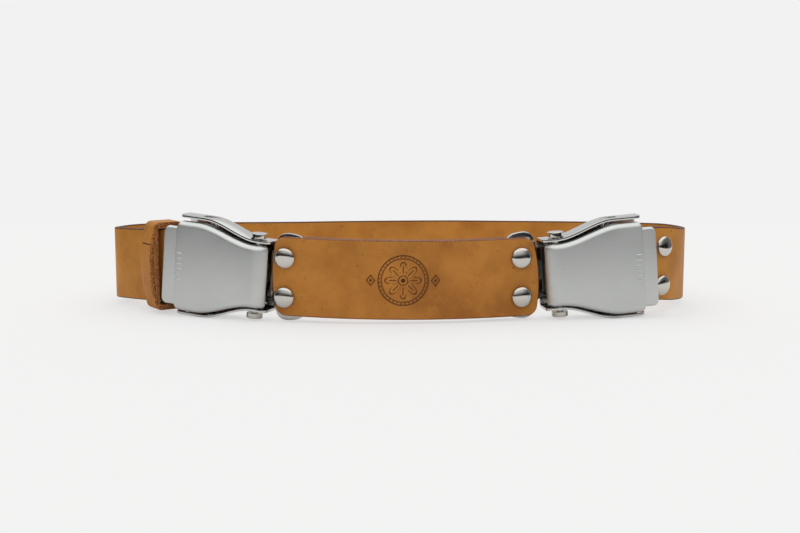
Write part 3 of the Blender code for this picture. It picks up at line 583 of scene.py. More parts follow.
def satin_steel():
    """Stainless steel sheet, blasted and lightly brushed."""
    # An even, soft grey sheen, brighter only where the sheet is rolled over. The real grain is about
    # 0.1 mm and is drawn at 0.6 mm, so that it shows, over brush strokes and cloudy patches of 10 to 20 mm.
    made, tree, shader = new_material("satin_stainless_steel")
    place = add_node(tree, "ShaderNodeTexCoord")["Object"]
    stretch = add_node(tree, "ShaderNodeMapping", {"Vector": place, "Scale": (1.0, 1.0, 14.0)})[0]
    strokes = {"Vector": stretch, "Scale": 1 / 0.010, "Detail": 6.0, "Roughness": 0.7}
    brush = add_node(tree, "ShaderNodeTexNoise", strokes)[0]
    grain = add_node(tree, "ShaderNodeTexNoise", {"Vector": place, "Scale": 1 / 0.0006})[0]
    cloud = add_node(tree, "ShaderNodeTexNoise", {"Vector": place, "Scale": 1 / 0.020})[0]
    relief = add_node(tree, "ShaderNodeMath", (brush, grain), operation="ADD")[0]
    bump = add_node(tree, "ShaderNodeBump", {"Height": relief, "Strength": 0.12, "Distance": 0.00004})[0]
    grey = add_node(tree, "ShaderNodeMix", {0: brush, 6: "#D5D7D5", 7: "#E3E5E3"}, data_type="RGBA")[2]
    sheen = add_node(tree, "ShaderNodeMapRange", (cloud, 0.3, 0.7, 0.38, 0.45))[0]
    feed(tree, shader, {"Base Color": grey, "Metallic": 1.0, "Roughness": sheen, "Normal": bump})
    return made


SATIN_STEEL = satin_steel()
TICKS = tick_tree()
for side in PLACES:
    mesh = lever_mesh()
    mesh.transform(buckle_matrix(side, w=-PIN_PLAY))
    cover = new_object(f"{side}_lever_cover", mesh, SATIN_STEEL)
    fit_piece(cover, f"{side}_cover", "satin_steel", f"{side}_lever")
    row = grown(f"{side}_ticks", TICKS, {"Finish": SATIN_STEEL})
    row.transform(buckle_matrix(side, TICK_U, FACE_D, -PIN_PLAY))
    fit_piece(new_object(f"{side}_lever_ticks", row), f"{side}_cover", "satin_steel")


# Hinge pins and strap bars
# A headed steel pin goes through the frame and the lever's ears and hangs down by its play, and a plain
# round bar sits in the frame's slots. Both are turned from rod and nickel plated.

PIN_HEAD_RADIUS = 0.0052
PIN_HEAD_THICK = 0.0032
PIN_HEAD_RIM = 0.0006
PIN_HEAD_BREAK = 0.0002
BAR_END_RIM = 0.0005
BAR_END_INSET = 0.0002
SAME_POINT = 0.000002


def turned(name, profile, sides=48):
    """A profile of radius and height, from the top down, turned round Z."""
    work = bmesh.new()
    points = [work.verts.new((radius, 0, height)) for radius, height in profile]
    edges = [work.edges.new(pair) for pair in zip(points, points[1:])]
    bmesh.ops.spin(work, geom=[*points, *edges], axis=(0, 0, 1), cent=(0, 0, 0), angle=math.tau, steps=sides)
    bmesh.ops.remove_doubles(work, verts=work.verts, dist=SAME_POINT)
    return mesh_from(work, name)


def polished_nickel():
    """Nickel plate, polished by tumbling."""
    # A warm, slightly yellow mirror, a little softer than the chrome, with strong darks on its edges and
    # patches of 3 mm that tumbling left duller.
    made, tree, shader = new_material("polished_nickel")
    place = add_node(tree, "ShaderNodeTexCoord")["Object"]
    wear = add_node(tree, "ShaderNodeTexNoise", {"Vector": place, "Scale": 1 / 0.003, "Detail": 5.0})[0]
    dulled = add_node(tree, "ShaderNodeMapRange", (wear, 0.4, 0.7, 0.08, 0.18))[0]
    feed(tree, shader, {"Base Color": "#D6D2CB", "Metallic": 1.0, "Roughness": dulled})
    return made


NICKEL = polished_nickel()
shoulder = float(frame_half(PIN_U + PIN_HEAD_RADIUS)) + SEAT_GAP + PIN_PLAY
head_end = shoulder + PIN_HEAD_THICK
pin_half = [
    (0.0, head_end),
    *arc((PIN_HEAD_RADIUS - PIN_HEAD_RIM, head_end - PIN_HEAD_RIM), PIN_HEAD_RIM, 90, 0, 5),
    (PIN_HEAD_RADIUS, shoulder + PIN_HEAD_BREAK),
    (PIN_HEAD_RADIUS - PIN_HEAD_BREAK, shoulder),
    (PIN_RADIUS, shoulder),
]
bar_end = float(frame_half(BAR_U)) - BAR_END_INSET
bar_half = [(0.0, bar_end), *arc((BAR_RADIUS - BAR_END_RIM, bar_end - BAR_END_RIM), BAR_END_RIM, 90, 0, 5)]
for side in PLACES:
    for name, half, place in (
        ("hinge_pin", pin_half, (PIN_U, PIN_D, -PIN_PLAY)),
        ("strap_bar", bar_half, (BAR_U, BAR_D, 0.0)),
    ):
        mesh = turned(name, [*half, *[(r, -z) for r, z in half[::-1]]])
        mesh.transform(buckle_matrix(side, *place))
        fit_piece(new_object(f"{side}_turned_{name}", mesh, NICKEL), "belt", "nickel", f"{side}_{name}")


# Centre panel
# Two plies of the same bridle leather, cut with bowed ends and riveted round the tongues. The front ply
# carries a stamped ornament, a traditional saddler's rosette, pressed cold into damp leather.

PANEL_HALF = 0.0252
PANEL_THICK = 0.0038
PANEL_END_BULGE = 0.0033
PANEL_CORNER = 0.0055
PANEL_END_SKEW = 0.03
PANEL_TIPS = {"left": (-0.0005, 0.0085, 0.0010), "right": (-0.0019, 0.0085, -0.0005)}
PANEL_END_YAW = math.radians(15.5)
PANEL_END_DROP = 0.030
PANEL_RIVETS = ((-0.0731, 0.0007), (0.0776, 0.0))
PANEL_RIVET_SPACING = 0.0251
BACK_PLY_SHORTER = 0.0026
PLIES_MEET = (0.026, 0.050)
PLY_GAP = 0.0004
TONGUE_SHEET = 0.0020
FRONT_EDGE_ROUND = 0.0012
EDGE_ROUND = 0.0007
EDGE_ZONE = 0.0030
EDGE_STEP = 0.0003
DIMPLE = (0.0060, 0.0105)
DIMPLE_DEPTH = 0.00035
STAMP_X = 0.0020
STAMP_REACH = 0.025
STAMP_DEPTH = 0.0005
STAMP_STEP = 0.00045
LINE_EDGE = 0.00025
RAW_FADE = (0.3, 0.8)
FRONT_STEP = 0.0016
BACK_STEP = 0.0030
SOFT_CREASE = math.radians(60)
# The rosette: radius and half width of each ring's line, its beads, petals, veins, heart and side marks
ROSETTE_RINGS = ((0.0158, 0.00035), (0.0138, 0.00030), (0.0030, 0.00030))
BEAD_COUNT = 36
BEAD_RING = 0.0148
BEAD_EDGE = (0.00025, 0.00055)
PETAL_COUNT = 8
PETAL_REACH = 0.0115
PETAL_ENDS = (0.0035, 0.0120)
PETAL_LINE = 0.00040
VEIN_START = (0.0040, 0.0045)
VEIN_END = 0.0092
VEIN_LINE = 0.00028
HEART_EDGE = (0.0012, 0.0016)
DIAMOND_X = 0.0205
DIAMOND_SLENDER = 0.8
DIAMOND_HALF = 0.0026
DIAMOND_LINE = 0.00040
DIAMOND_DOT = (0.0008, 0.0012)
PALE_BLOTS = "#DA9C4A"
WORN_SPECKS = "#74401A"
PRESSED_LINES = "#5A3012"


def directions(points):
    """Unit tangent, outward normal in plan and width direction at each point of a route."""
    tangent = np.gradient(points, axis=0)
    tangent /= np.linalg.norm(tangent, axis=1, keepdims=True)
    outward = np.stack([tangent[:, 1], -tangent[:, 0], np.zeros(len(points))], axis=1)
    outward /= np.linalg.norm(outward, axis=1, keepdims=True)
    across = np.cross(outward, tangent)
    across *= np.sign(across[:, 2:3])
    return tangent, outward, across


def arc_length(points):
    """Length along a route at each of its points."""
    return np.concatenate([[0.0], np.cumsum(np.linalg.norm(np.diff(points, axis=0), axis=1))])


def at_length(run, values, s):
    """Values along a route at a length along it."""
    return np.array([np.interp(s, run, values[:, k]) for k in range(3)])


def panel_route():
    """Front face of the panel along its middle line, from the left tip to the right one."""
    tips = [buckle_point(side, *tip) for side, tip in PANEL_TIPS.items()]
    reach = (tips[1] - tips[0]).length / 3
    ahead, sideways = math.cos(PANEL_END_YAW), math.sin(PANEL_END_YAW)
    left, right = [Vector((hand * ahead, -sideways, -PANEL_END_DROP)) * reach for hand in (1, -1)]
    knots = [tips[0], tips[0] + left, tips[1] + right, tips[1]]
    t = np.linspace(0, 1, 241)[:, None]
    weights = ((1 - t) ** 3, 3 * t * (1 - t) ** 2, 3 * t * t * (1 - t), t**3)
    points = sum(weight * np.array(knot) for weight, knot in zip(weights, knots))
    return points, arc_length(points), *directions(points)[1:]


def ply_parting(s, length):
    """Gap between the plies: the tongue's thickness near both ends, closed in the middle."""
    opened = TONGUE_SHEET + 2 * SEAT_GAP
    return opened + (PLY_GAP - opened) * smooth_step(min(s, length - s), *PLIES_MEET)


def fallen(distance, radius):
    """How far a rounded edge falls away at a distance from its end."""
    into = max(0.0, radius - distance)
    return radius - math.sqrt(max(0.0, radius**2 - into**2))


def panel_inset(w):
    """How far the panel's rounded end stops short of its tip, at a height from the middle."""
    end_radius = (PANEL_HALF**2 + PANEL_END_BULGE**2) / (2 * PANEL_END_BULGE)
    return end_radius - math.sqrt(end_radius**2 - w * w) + fallen(PANEL_HALF - abs(w), PANEL_CORNER)


def line_mark(distance, half_width):
    """1 inside a pressed line, fading to 0 over its edge."""
    return 1 - smooth_step(np.abs(distance), half_width - LINE_EDGE, half_width + LINE_EDGE)


def stamp(x, z):
    """How deep the rosette and its side marks are pressed, from 0 to 1, at a place on the front ply."""
    radius = np.hypot(x, z)
    angle = np.arctan2(z, x)
    marks = [line_mark(radius - ring, half) for ring, half in ROSETTE_RINGS]
    share = math.tau / BEAD_COUNT
    bead = np.hypot(radius - BEAD_RING, BEAD_RING * (np.mod(angle, share) - share / 2))
    marks.append(1 - smooth_step(bead, *BEAD_EDGE))
    share = math.tau / PETAL_COUNT
    petal = np.mod(angle + share / 2, share) - share / 2
    edge = PETAL_REACH * np.cos(petal * PETAL_COUNT / 2) ** 0.5 * (radius < PETAL_ENDS[1])
    marks.append(line_mark(radius - edge, PETAL_LINE) * (radius > PETAL_ENDS[0]))
    vein = smooth_step(radius, *VEIN_START) * (radius < VEIN_END)
    marks.append(line_mark(radius * np.sin(petal), VEIN_LINE) * vein)
    marks.append(1 - smooth_step(radius, *HEART_EDGE))
    for hand in (-1, 1):
        diamond = np.abs(x - hand * DIAMOND_X) + np.abs(z) * DIAMOND_SLENDER
        marks.append(line_mark(diamond - DIAMOND_HALF, DIAMOND_LINE))
        marks.append(1 - smooth_step(diamond, *DIAMOND_DOT))
    return np.maximum.reduce(marks)


def panel_levels(step):
    """Heights of the slices: close together over the rounded edges, and a step apart between them."""
    flat = PANEL_HALF - FRONT_EDGE_ROUND
    edge = FRONT_EDGE_ROUND * np.sin(np.linspace(0, math.pi / 2, 8))
    return [*(-flat - edge[::-1])[:-1], *np.arange(-flat, flat, step), *(flat + edge)]


def panel_ply(name, route, back):
    """One ply in level slices, with rounded edges, marked with how raw and how pressed it is."""
    points, run, outward, across = route
    middle_s = float(np.interp(STAMP_X, points[:, 0], run))
    rivets = [(float(np.interp(x, points[:, 0], run)), drop) for x, drop in PANEL_RIVETS]
    fine, coarse = (BACK_STEP, BACK_STEP) if back else (STAMP_STEP, FRONT_STEP)
    stamped = (middle_s - STAMP_REACH, middle_s + STAMP_REACH)
    stations = [*np.arange(0, EDGE_ZONE, EDGE_STEP), *np.arange(EDGE_ZONE, stamped[0], coarse)]
    stations += [*np.arange(*stamped, fine), *np.arange(stamped[1], run[-1] - EDGE_ZONE, coarse)]
    stations += [*np.arange(run[-1] - EDGE_ZONE, run[-1], EDGE_STEP), run[-1]]
    shares = np.array(stations) / run[-1]
    radius = EDGE_ROUND if back else FRONT_EDGE_ROUND
    sections = []
    raw = []
    pressed = []
    for w in panel_levels(fine):
        inset = panel_inset(w) + (BACK_PLY_SHORTER if back else 0.0)
        first, last = inset - PANEL_END_SKEW * w, run[-1] - inset - PANEL_END_SKEW * w
        loop = []
        for face in (0, 1):
            for share in shares if face == 0 else shares[::-1]:
                s = first + (last - first) * share
                to_side, to_end = PANEL_HALF - abs(w), min(s - first, last - s)
                bend = radius if face == 0 else EDGE_ROUND
                sunk = max(fallen(to_side, bend), fallen(to_end, bend))
                mark_here = 0.0
                if face == 0 and not back:
                    mark_here = float(stamp(np.float64(s - middle_s), np.float64(w)))
                    sunk += STAMP_DEPTH * mark_here
                    half = PANEL_RIVET_SPACING / 2
                    near = min(math.hypot(s - r, abs(w + drop) - half) for r, drop in rivets)
                    sunk += DIMPLE_DEPTH * (1 - float(smooth_step(near, *DIMPLE)))
                depth = (PANEL_THICK + ply_parting(s, run[-1])) if back else 0.0
                depth += sunk if face == 0 else PANEL_THICK - sunk
                middle = at_length(run, points, s) + at_length(run, across, s) * w
                loop.append(middle - at_length(run, outward, s) * depth)
                fade = [share * bend for share in RAW_FADE]
                raw.append(1 - float(smooth_step(min(to_side, to_end), *fade)))
                pressed.append(mark_here)
        sections.append(loop)
    return loft(name, sections, crease=SOFT_CREASE, cut_edge=raw, pressed=pressed)


def bridle_leather(name, face, deep, raw_dark, raw_light, fibre_length=1.0):
    """Tan bridle leather, vegetable tanned and waxed, with a face and an edge of its own colours."""
    # A smooth yellowish tan with a low waxy sheen, clouds of 30 mm, paler blots of 7 mm, dark specks of
    # 3 mm where the wax wore off, darker pressed lines and a fibrous brown edge. Its pores and fibres are
    # about 0.2 mm and are drawn at 0.9 and 0.8 mm, so that they show.
    made, tree, shader = new_material(name)
    place = add_node(tree, "ShaderNodeTexCoord")["Object"]
    laid = add_node(tree, "ShaderNodeMapping", {"Vector": place, "Scale": (1.0, 1.0, fibre_length)})[0]
    patterns = []
    for where, size, detail, roughness in (
        (place, 0.0300, 5.0, 0.50),
        (place, 0.0070, 6.0, 0.65),
        (place, 0.0030, 3.0, 0.60),
        (laid, 0.0008, 4.0, 0.50),
    ):
        noise = {"Vector": where, "Scale": 1 / size, "Detail": detail, "Roughness": roughness}
        patterns.append(add_node(tree, "ShaderNodeTexNoise", noise)[0])
    cloud, blots, specks, fibre = patterns
    pores = add_node(tree, "ShaderNodeTexVoronoi", {"Vector": place, "Scale": 1 / 0.0009})["Distance"]
    pressed = add_node(tree, "ShaderNodeAttribute", attribute_name="pressed")["Fac"]
    cut = add_node(tree, "ShaderNodeAttribute", attribute_name="cut_edge")["Fac"]
    strands = add_node(tree, "ShaderNodeMapRange", (fibre, 0.35, 0.65))[0]
    raw = add_node(tree, "ShaderNodeMix", {0: strands, 6: raw_dark, 7: raw_light}, data_type="RGBA")[2]
    colour = face
    for pattern, low, high, most, paint in (
        (cloud, 0.40, 0.66, 0.75, deep),
        (blots, 0.48, 0.75, 0.40, PALE_BLOTS),
        (specks, 0.64, 0.74, 0.60, WORN_SPECKS),
        (pressed, 0.0, 1.0, 1.0, PRESSED_LINES),
        (cut, 0.0, 1.0, 1.0, raw),
    ):
        share = add_node(tree, "ShaderNodeMapRange", (pattern, low, high, 0.0, most))[0]
        colour = add_node(tree, "ShaderNodeMix", {0: share, 6: colour, 7: paint}, data_type="RGBA")[2]
    relief = add_node(tree, "ShaderNodeMath", (pores, blots), operation="ADD")[0]
    bump = add_node(tree, "ShaderNodeBump", {"Height": relief, "Strength": 0.25, "Distance": 0.00012})[0]
    sheen = add_node(tree, "ShaderNodeMapRange", (blots, 0.3, 0.7, 0.42, 0.56))[0]
    feed(tree, shader, {"Base Color": colour, "Roughness": sheen, "Normal": bump, "Specular IOR Level": 0.25})
    return made


PANEL_LEATHER = bridle_leather("waxed_tan_bridle_leather", "#D18A3B", "#A86729", "#6A3A22", "#B07448")
PANEL = panel_route()
for name, back in (("panel_front", False), ("panel_back", True)):
    ply = new_object(f"{name}_leather", panel_ply(name, PANEL, back), PANEL_LEATHER)
    fit_piece(ply, "belt", "tan_leather", f"{name}_ply")


# Strap
# One strap of bridle leather, 48 mm wide: it folds round the right buckle's bar, goes round the waist,
# turns round the left buckle's bar, and ends inside the keeper. Its edges are burnished.

STRAP_WIDTH = 0.0480
STRAP_THICK = 0.0036
STRAP_CORNER = 0.0008
STRAP_EXIT_U = 0.0640
STRAP_EXIT_D = 0.0098
FOLD_LENGTH = 0.0300
TAIL_LENGTH = 0.0460
TURN_RADIUS = BAR_RADIUS + SEAT_GAP + STRAP_THICK / 2
AFTER_TURN_U = 0.0070
AFTER_TURN_RISE = 0.0008
EXIT_BEND = 0.25
STRAP_STEP = 0.0010
FOLD_STEP = 0.0008
PLY_START = 0.0020
PLY_STEP = 0.0030
BUCKLE_REACH = 0.110
UNTWIST_LENGTH = 0.025
# Outer face in plan, and the height of the lower edge, from the right buckle round the back to the left
STRAP_ROUTE = [
    (0.1724, -0.0465, 0.0094),
    (0.1813, -0.0370, 0.0078),
    (0.1886, -0.0248, 0.0062),
    (0.1936, -0.0112, 0.0050),
    (0.1957, 0.0015, 0.0042),
    (0.1935, 0.0175, 0.0036),
    (0.1870, 0.0305, 0.0033),
    (0.1760, 0.0415, 0.0026),
    (0.1550, 0.0550, 0.0017),
    (0.1200, 0.0695, 0.0007),
    (0.0800, 0.0790, 0.0000),
    (0.0400, 0.0820, 0.0000),
    (0.0000, 0.0808, 0.0000),
    (-0.0400, 0.0775, 0.0000),
    (-0.0800, 0.0725, 0.0000),
    (-0.1200, 0.0645, 0.0006),
    (-0.1500, 0.0548, 0.0016),
    (-0.1660, 0.0468, 0.0023),
    (-0.1780, 0.0370, 0.0028),
    (-0.1878, 0.0255, 0.0034),
    (-0.1941, 0.0125, 0.0038),
    (-0.1964, 0.0005, 0.0042),
    (-0.1932, -0.0078, 0.0046),
    (-0.1850, -0.0155, 0.0051),
    (-0.1707, -0.0277, 0.0060),
    (-0.1575, -0.0395, 0.0074),
]


def between(t, start, end, one, two):
    """The point at t on the straight run from one point at its start to another at its end."""
    return ((end - t) * one + (t - start) * two) / (end - start)


def spline(points, step):
    """Points a step apart along a centripetal Catmull-Rom curve through the given points."""
    ends = [2 * points[0] - points[1], *points, 2 * points[-1] - points[-2]]
    dense = []
    for four in zip(ends, ends[1:], ends[2:], ends[3:]):
        knots = [0.0]
        for one, two in zip(four, four[1:]):
            knots.append(knots[-1] + np.linalg.norm(two - one) ** 0.5)
        for t in np.linspace(knots[1], knots[2], 24, endpoint=False):
            level = four
            for reach in (1, 2):
                level = [between(t, *run) for run in zip(knots, knots[reach:], level, level[1:])]
            dense.append(between(t, knots[1], knots[2], *level))
    dense.append(points[-1])
    dense = np.array(dense)
    run = arc_length(dense)
    return at_length(run, dense, np.linspace(0.0, run[-1], max(2, round(run[-1] / step)))).T


def ends_of_route(side):
    """Middle of the main ply inside a buckle, from the front of the bar to where it leaves the frame."""
    front_d = BAR_D - TURN_RADIUS
    middle = ((BAR_U + STRAP_EXIT_U) / 2, front_d + (STRAP_EXIT_D - front_d) * EXIT_BEND)
    steps = ((BAR_U, front_d), middle, (STRAP_EXIT_U, STRAP_EXIT_D))
    return [np.array(buckle_point(side, u, d)) for u, d in steps]


def main_route():
    """Middle of the leather from the front of the right bar, round the back, to the left bar."""
    right = ends_of_route("right")
    left = ends_of_route("left")[::-1]
    outer = np.array([(x, y, lift + STRAP_WIDTH / 2) for x, y, lift in STRAP_ROUTE])
    outward = directions(np.vstack([right[-1], outer, left[0]]))[1][1:-1]
    return spline([*right, *(outer - STRAP_THICK / 2 * outward), *left], STRAP_STEP)


def second_ply(route, hand, side, length):
    """From the bar's front round the bar, then along the inside of the route, which starts at that bar."""
    turn = arc((BAR_U, BAR_D), TURN_RADIUS, -90, -270, 9)[1:]
    turn.append((BAR_U + AFTER_TURN_U, BAR_D + TURN_RADIUS - AFTER_TURN_RISE))
    run = arc_length(route)
    outward = directions(route)[1] * hand
    start = STRAP_EXIT_U - BAR_U + PLY_START
    ply = []
    for s in np.arange(start, start + length, PLY_STEP):
        out = at_length(run, outward, s)
        ply.append(at_length(run, route, s) - (STRAP_THICK + PLY_GAP) * out / np.linalg.norm(out))
    return [*[np.array(buckle_point(side, u, d)) for u, d in turn], *ply]


def width_direction(point, upright):
    """The strap lies square to each bar, and stands nearly upright away from the buckles."""
    for side, (origin, along, _, across, hand) in PLACES.items():
        offset = Vector(point) - origin
        if offset.length < BUCKLE_REACH and hand * point[0] > 0:
            untwisted = STRAP_EXIT_U + UNTWIST_LENGTH
            blend = float(smooth_step(offset.dot(along), STRAP_EXIT_U, untwisted))
            return across.lerp(Vector(upright), blend).normalized()
    return Vector(upright)


def strip_tree():
    """Sweeps a strip with rounded corners along a line that leans by an angle stored at each point."""
    sizes = {"Width": STRAP_WIDTH, "Thickness": STRAP_THICK, "Corner": STRAP_CORNER}
    tree, given = new_tree("swept_strip", *[(title, "Float", size) for title, size in sizes.items()])
    line = add_node(tree, "GeometryNodeMeshToCurve", {"Mesh": given["Geometry"]})[0]
    upright = add_node(tree, "GeometryNodeSetCurveNormal", {"Curve": line}, mode="Z_UP")[0]
    lean = add_node(tree, "GeometryNodeInputNamedAttribute", {"Name": "lean"}, data_type="FLOAT")["Attribute"]
    leaning = add_node(tree, "GeometryNodeSetCurveTilt", {"Curve": upright, "Tilt": lean})[0]
    outline = {"Width": given["Thickness"], "Height": given["Width"]}
    section = add_node(tree, "GeometryNodeCurvePrimitiveQuadrilateral", outline)[0]
    corners = {"Curve": section, "Count": 5, "Radius": given["Corner"], "Limit Radius": True}
    rounded = add_node(tree, "GeometryNodeFilletCurve", corners, mode="POLY")[0]
    where = add_node(tree, "GeometryNodeInputPosition")[0]
    height = add_node(tree, "ShaderNodeSeparateXYZ", (where,))["Y"]
    reach = add_node(tree, "ShaderNodeMath", (height,), operation="ABSOLUTE")[0]
    half = add_node(tree, "ShaderNodeMath", (given["Width"], 0.5), operation="MULTIPLY")[0]
    flat = add_node(tree, "ShaderNodeMath", (half, given["Corner"]), operation="SUBTRACT")[0]
    at_edge = add_node(tree, "ShaderNodeMath", (reach, flat), operation="GREATER_THAN")[0]
    capture = tree.nodes.new("GeometryNodeCaptureAttribute")
    capture.capture_items.new("FLOAT", "edge")
    feed(tree, capture, {"Geometry": rounded, "edge": at_edge})
    profile = capture.outputs["Geometry"]
    sweep = {"Curve": leaning, "Profile Curve": profile, "Fill Caps": True}
    swept = add_node(tree, "GeometryNodeCurveToMesh", sweep)[0]
    edges = {"Geometry": swept, "Name": "cut_edge", "Value": capture.outputs["edge"]}
    kind = {"data_type": "FLOAT", "domain": "POINT"}
    return close_tree(tree, given, add_node(tree, "GeometryNodeStoreNamedAttribute", edges, **kind)[0])


def line_mesh(name, points, leans):
    """A line through points, with the angle by which the strap leans stored at each."""
    mesh = bpy.data.meshes.new(name)
    mesh.from_pydata([tuple(p) for p in points], [(i, i + 1) for i in range(len(points) - 1)], [])
    mark(mesh, "lean", leans)
    return mesh


MAIN = main_route()
fold_run = spline([*second_ply(MAIN, 1, "right", FOLD_LENGTH)[::-1], MAIN[0]], FOLD_STEP)
tail_run = spline([MAIN[-1], *second_ply(MAIN[::-1], -1, "left", TAIL_LENGTH)], FOLD_STEP)
strap_line = np.vstack([fold_run[:-1], MAIN, tail_run[1:]])
tangent, outward, upright = directions(strap_line)
leans = []
for i, point in enumerate(strap_line):
    run_way = Vector(tangent[i])
    level = Vector((run_way.y, -run_way.x, 0.0)).normalized()
    across = width_direction(point, upright[i])
    through = across.cross(run_way).normalized()
    if through.dot(level) < 0:
        through = -through
    leans.append(math.atan2(level.cross(through).dot(run_way), level.dot(through)))
# The strap is the panel's leather with its face and clouds painted lighter. This is painted light, which
# brightens the back of the loop where the front of the belt shades it.
STRAP_LEATHER = bridle_leather("tan_bridle_leather_painted_lighter", "#D99440", "#B5722C", "#402418", "#744834")
line = line_mesh("strap_line", strap_line, leans)
strap_mesh = shaded(grown("strap", strip_tree(), {"Finish": STRAP_LEATHER}, line), SOFT_CREASE)
fit_piece(new_object("waist_strap", strap_mesh), "belt", "tan_leather", "main_strap")


# Keeper
# A short loop of the same leather that holds the strap's free end. Its ends are lapped at the front under
# a seam, and it sits a little askew, so that its raw, fibrous cut edge shows beside the buckle.

KEEPER_WIDTH = 0.0150
KEEPER_THICK = 0.0036
KEEPER_LAP = 0.0034
KEEPER_LAP_SPAN = 0.87
KEEPER_LAP_SHAPE = ((0.0, 0.3, 0.6, 0.9), (1.0, 0.91, 0.64, 0.0))
KEEPER_SEAM = 0.54
SEAM_HALF_WIDTH = 0.0004
SEAM_DEPTH = 0.0009
KEEPER_TWIST = math.radians(18)
KEEPER_FROM_EXIT = 0.0196
KEEPER_CORNER = 0.0030
KEEPER_EDGE = 0.0006
KEEPER_EASE = 0.0009
STRAP_SLOPE = math.radians(5.5)


def keeper_section(thick, parting):
    """Outline of the band in width and thickness, with a line on both edges where its ends are lapped."""
    half = KEEPER_WIDTH / 2
    section = []
    for sign_w, sign_t, start in ((1, 1, 0), (-1, 1, 90), (-1, -1, 180), (1, -1, 270)):
        centre = (sign_w * (half - KEEPER_EDGE), sign_t * (thick / 2 - KEEPER_EDGE))
        section += arc(centre, KEEPER_EDGE, start, start + 90, 5)
        if sign_w != sign_t:
            lip = sign_t * SEAM_HALF_WIDTH
            section += [(sign_w * half, lip), (sign_w * (half - parting), 0.0), (sign_w * half, -lip)]
    return section


def keeper_mesh():
    """The lapped loop, marked with how raw and how pressed it is."""
    main = MAIN[::-1]
    i = int(np.searchsorted(arc_length(main), STRAP_EXIT_U - BAR_U + KEEPER_FROM_EXIT))
    up = Vector((0.0, 0.0, 1.0))
    out = -Vector(directions(main)[1][i])
    centre = Vector(main[i]) - out * (STRAP_THICK + PLY_GAP) / 2
    out = Matrix.Rotation(-KEEPER_TWIST, 3, up) @ out
    axis = up.cross(out)
    plies = 2 * STRAP_THICK + PLY_GAP
    half_depth = plies / math.cos(KEEPER_TWIST) / 2 + KEEPER_WIDTH * math.tan(KEEPER_TWIST) / 2
    half_depth += KEEPER_EASE + KEEPER_THICK / 2
    half_height = STRAP_WIDTH / 2 * math.cos(STRAP_SLOPE) + KEEPER_WIDTH / 2 * math.sin(STRAP_SLOPE)
    half_height += KEEPER_EASE + KEEPER_THICK / 2
    path = []
    for quarter, (sign_out, sign_up) in enumerate(((1, 1), (-1, 1), (-1, -1), (1, -1))):
        for angle in math.pi / 2 * (quarter + np.linspace(0, 1, 9)):
            reach_out = sign_out * (half_depth - KEEPER_CORNER) + KEEPER_CORNER * math.cos(angle)
            reach_up = sign_up * (half_height - KEEPER_CORNER) + KEEPER_CORNER * math.sin(angle)
            path.append((reach_out, reach_up, angle, 0.0, 0.0))
    for share in np.linspace(-KEEPER_LAP_SPAN, KEEPER_LAP_SPAN, 101):
        lap = KEEPER_LAP * float(np.interp(abs(share), *KEEPER_LAP_SHAPE))
        seam = float(line_mark((share - KEEPER_SEAM) * half_height, SEAM_HALF_WIDTH))
        path.append((half_depth + lap / 2 - SEAM_DEPTH * seam / 2, half_height * share, 0.0, lap, seam))
    loops = []
    raw = []
    pressed = []
    for reach_out, reach_up, angle, lap, seam in path:
        thick = KEEPER_THICK + lap - SEAM_DEPTH * seam
        through = out * math.cos(angle) + up * math.sin(angle)
        point = centre + out * reach_out + up * reach_up
        section = keeper_section(thick, SEAM_HALF_WIDTH * lap / KEEPER_LAP)
        loops.append([point + axis * w + through * t for w, t in section])
        for w, t in section:
            raw.append(float(abs(w) > KEEPER_WIDTH / 2 - KEEPER_EDGE / 2 or t < KEEPER_EDGE - thick / 2))
            pressed.append(seam)
    return loft("keeper", loops, ring=True, crease=SOFT_CREASE, cut_edge=raw, pressed=pressed)


RAW_LEATHER = bridle_leather("raw_edged_bridle_leather", "#CC8632", "#A56424", "#7C4724", "#CE8C54", 0.6)
fit_piece(new_object("keeper_loop", keeper_mesh(), RAW_LEATHER), "belt", "raw_leather", "keeper")


# Tongues
# Flat steel, blanked, joggled and polished. The blade goes into the buckle under the lever's claw, and
# the wide slotted end lies between the panel's plies, with its rounded shoulders showing.

TONGUE_INNER_D = 0.0186
TONGUE_SLOT = (0.0052, 0.0156)
TONGUE_SLOT_HALF = 0.0205
TONGUE_SLIP = {"left": -0.0007, "right": 0.0008}
WINDOW_U = (0.0125, 0.0190)
WINDOW_HALF = 0.0085
TONGUE_EASE = 0.00045
# Half widths along the blade, by u in the buckle, and along the head, by length from the panel's end
TONGUE_BLADE = [(0.0260, 0.0100), (0.0250, 0.0130), (0.0230, 0.0155), (0.0205, 0.0165), (0.0018, 0.0165)]
TONGUE_HEAD = [
    (0.0003, 0.0170),
    (0.0013, 0.0215),
    (0.0024, 0.0243),
    (0.0041, 0.0263),
    (0.0060, 0.0274),
    (0.0089, 0.0280),
    (0.0127, 0.0277),
    (0.0167, 0.0269),
    (0.0194, 0.0252),
    (0.0208, 0.0228),
    (0.0214, 0.0205),
]


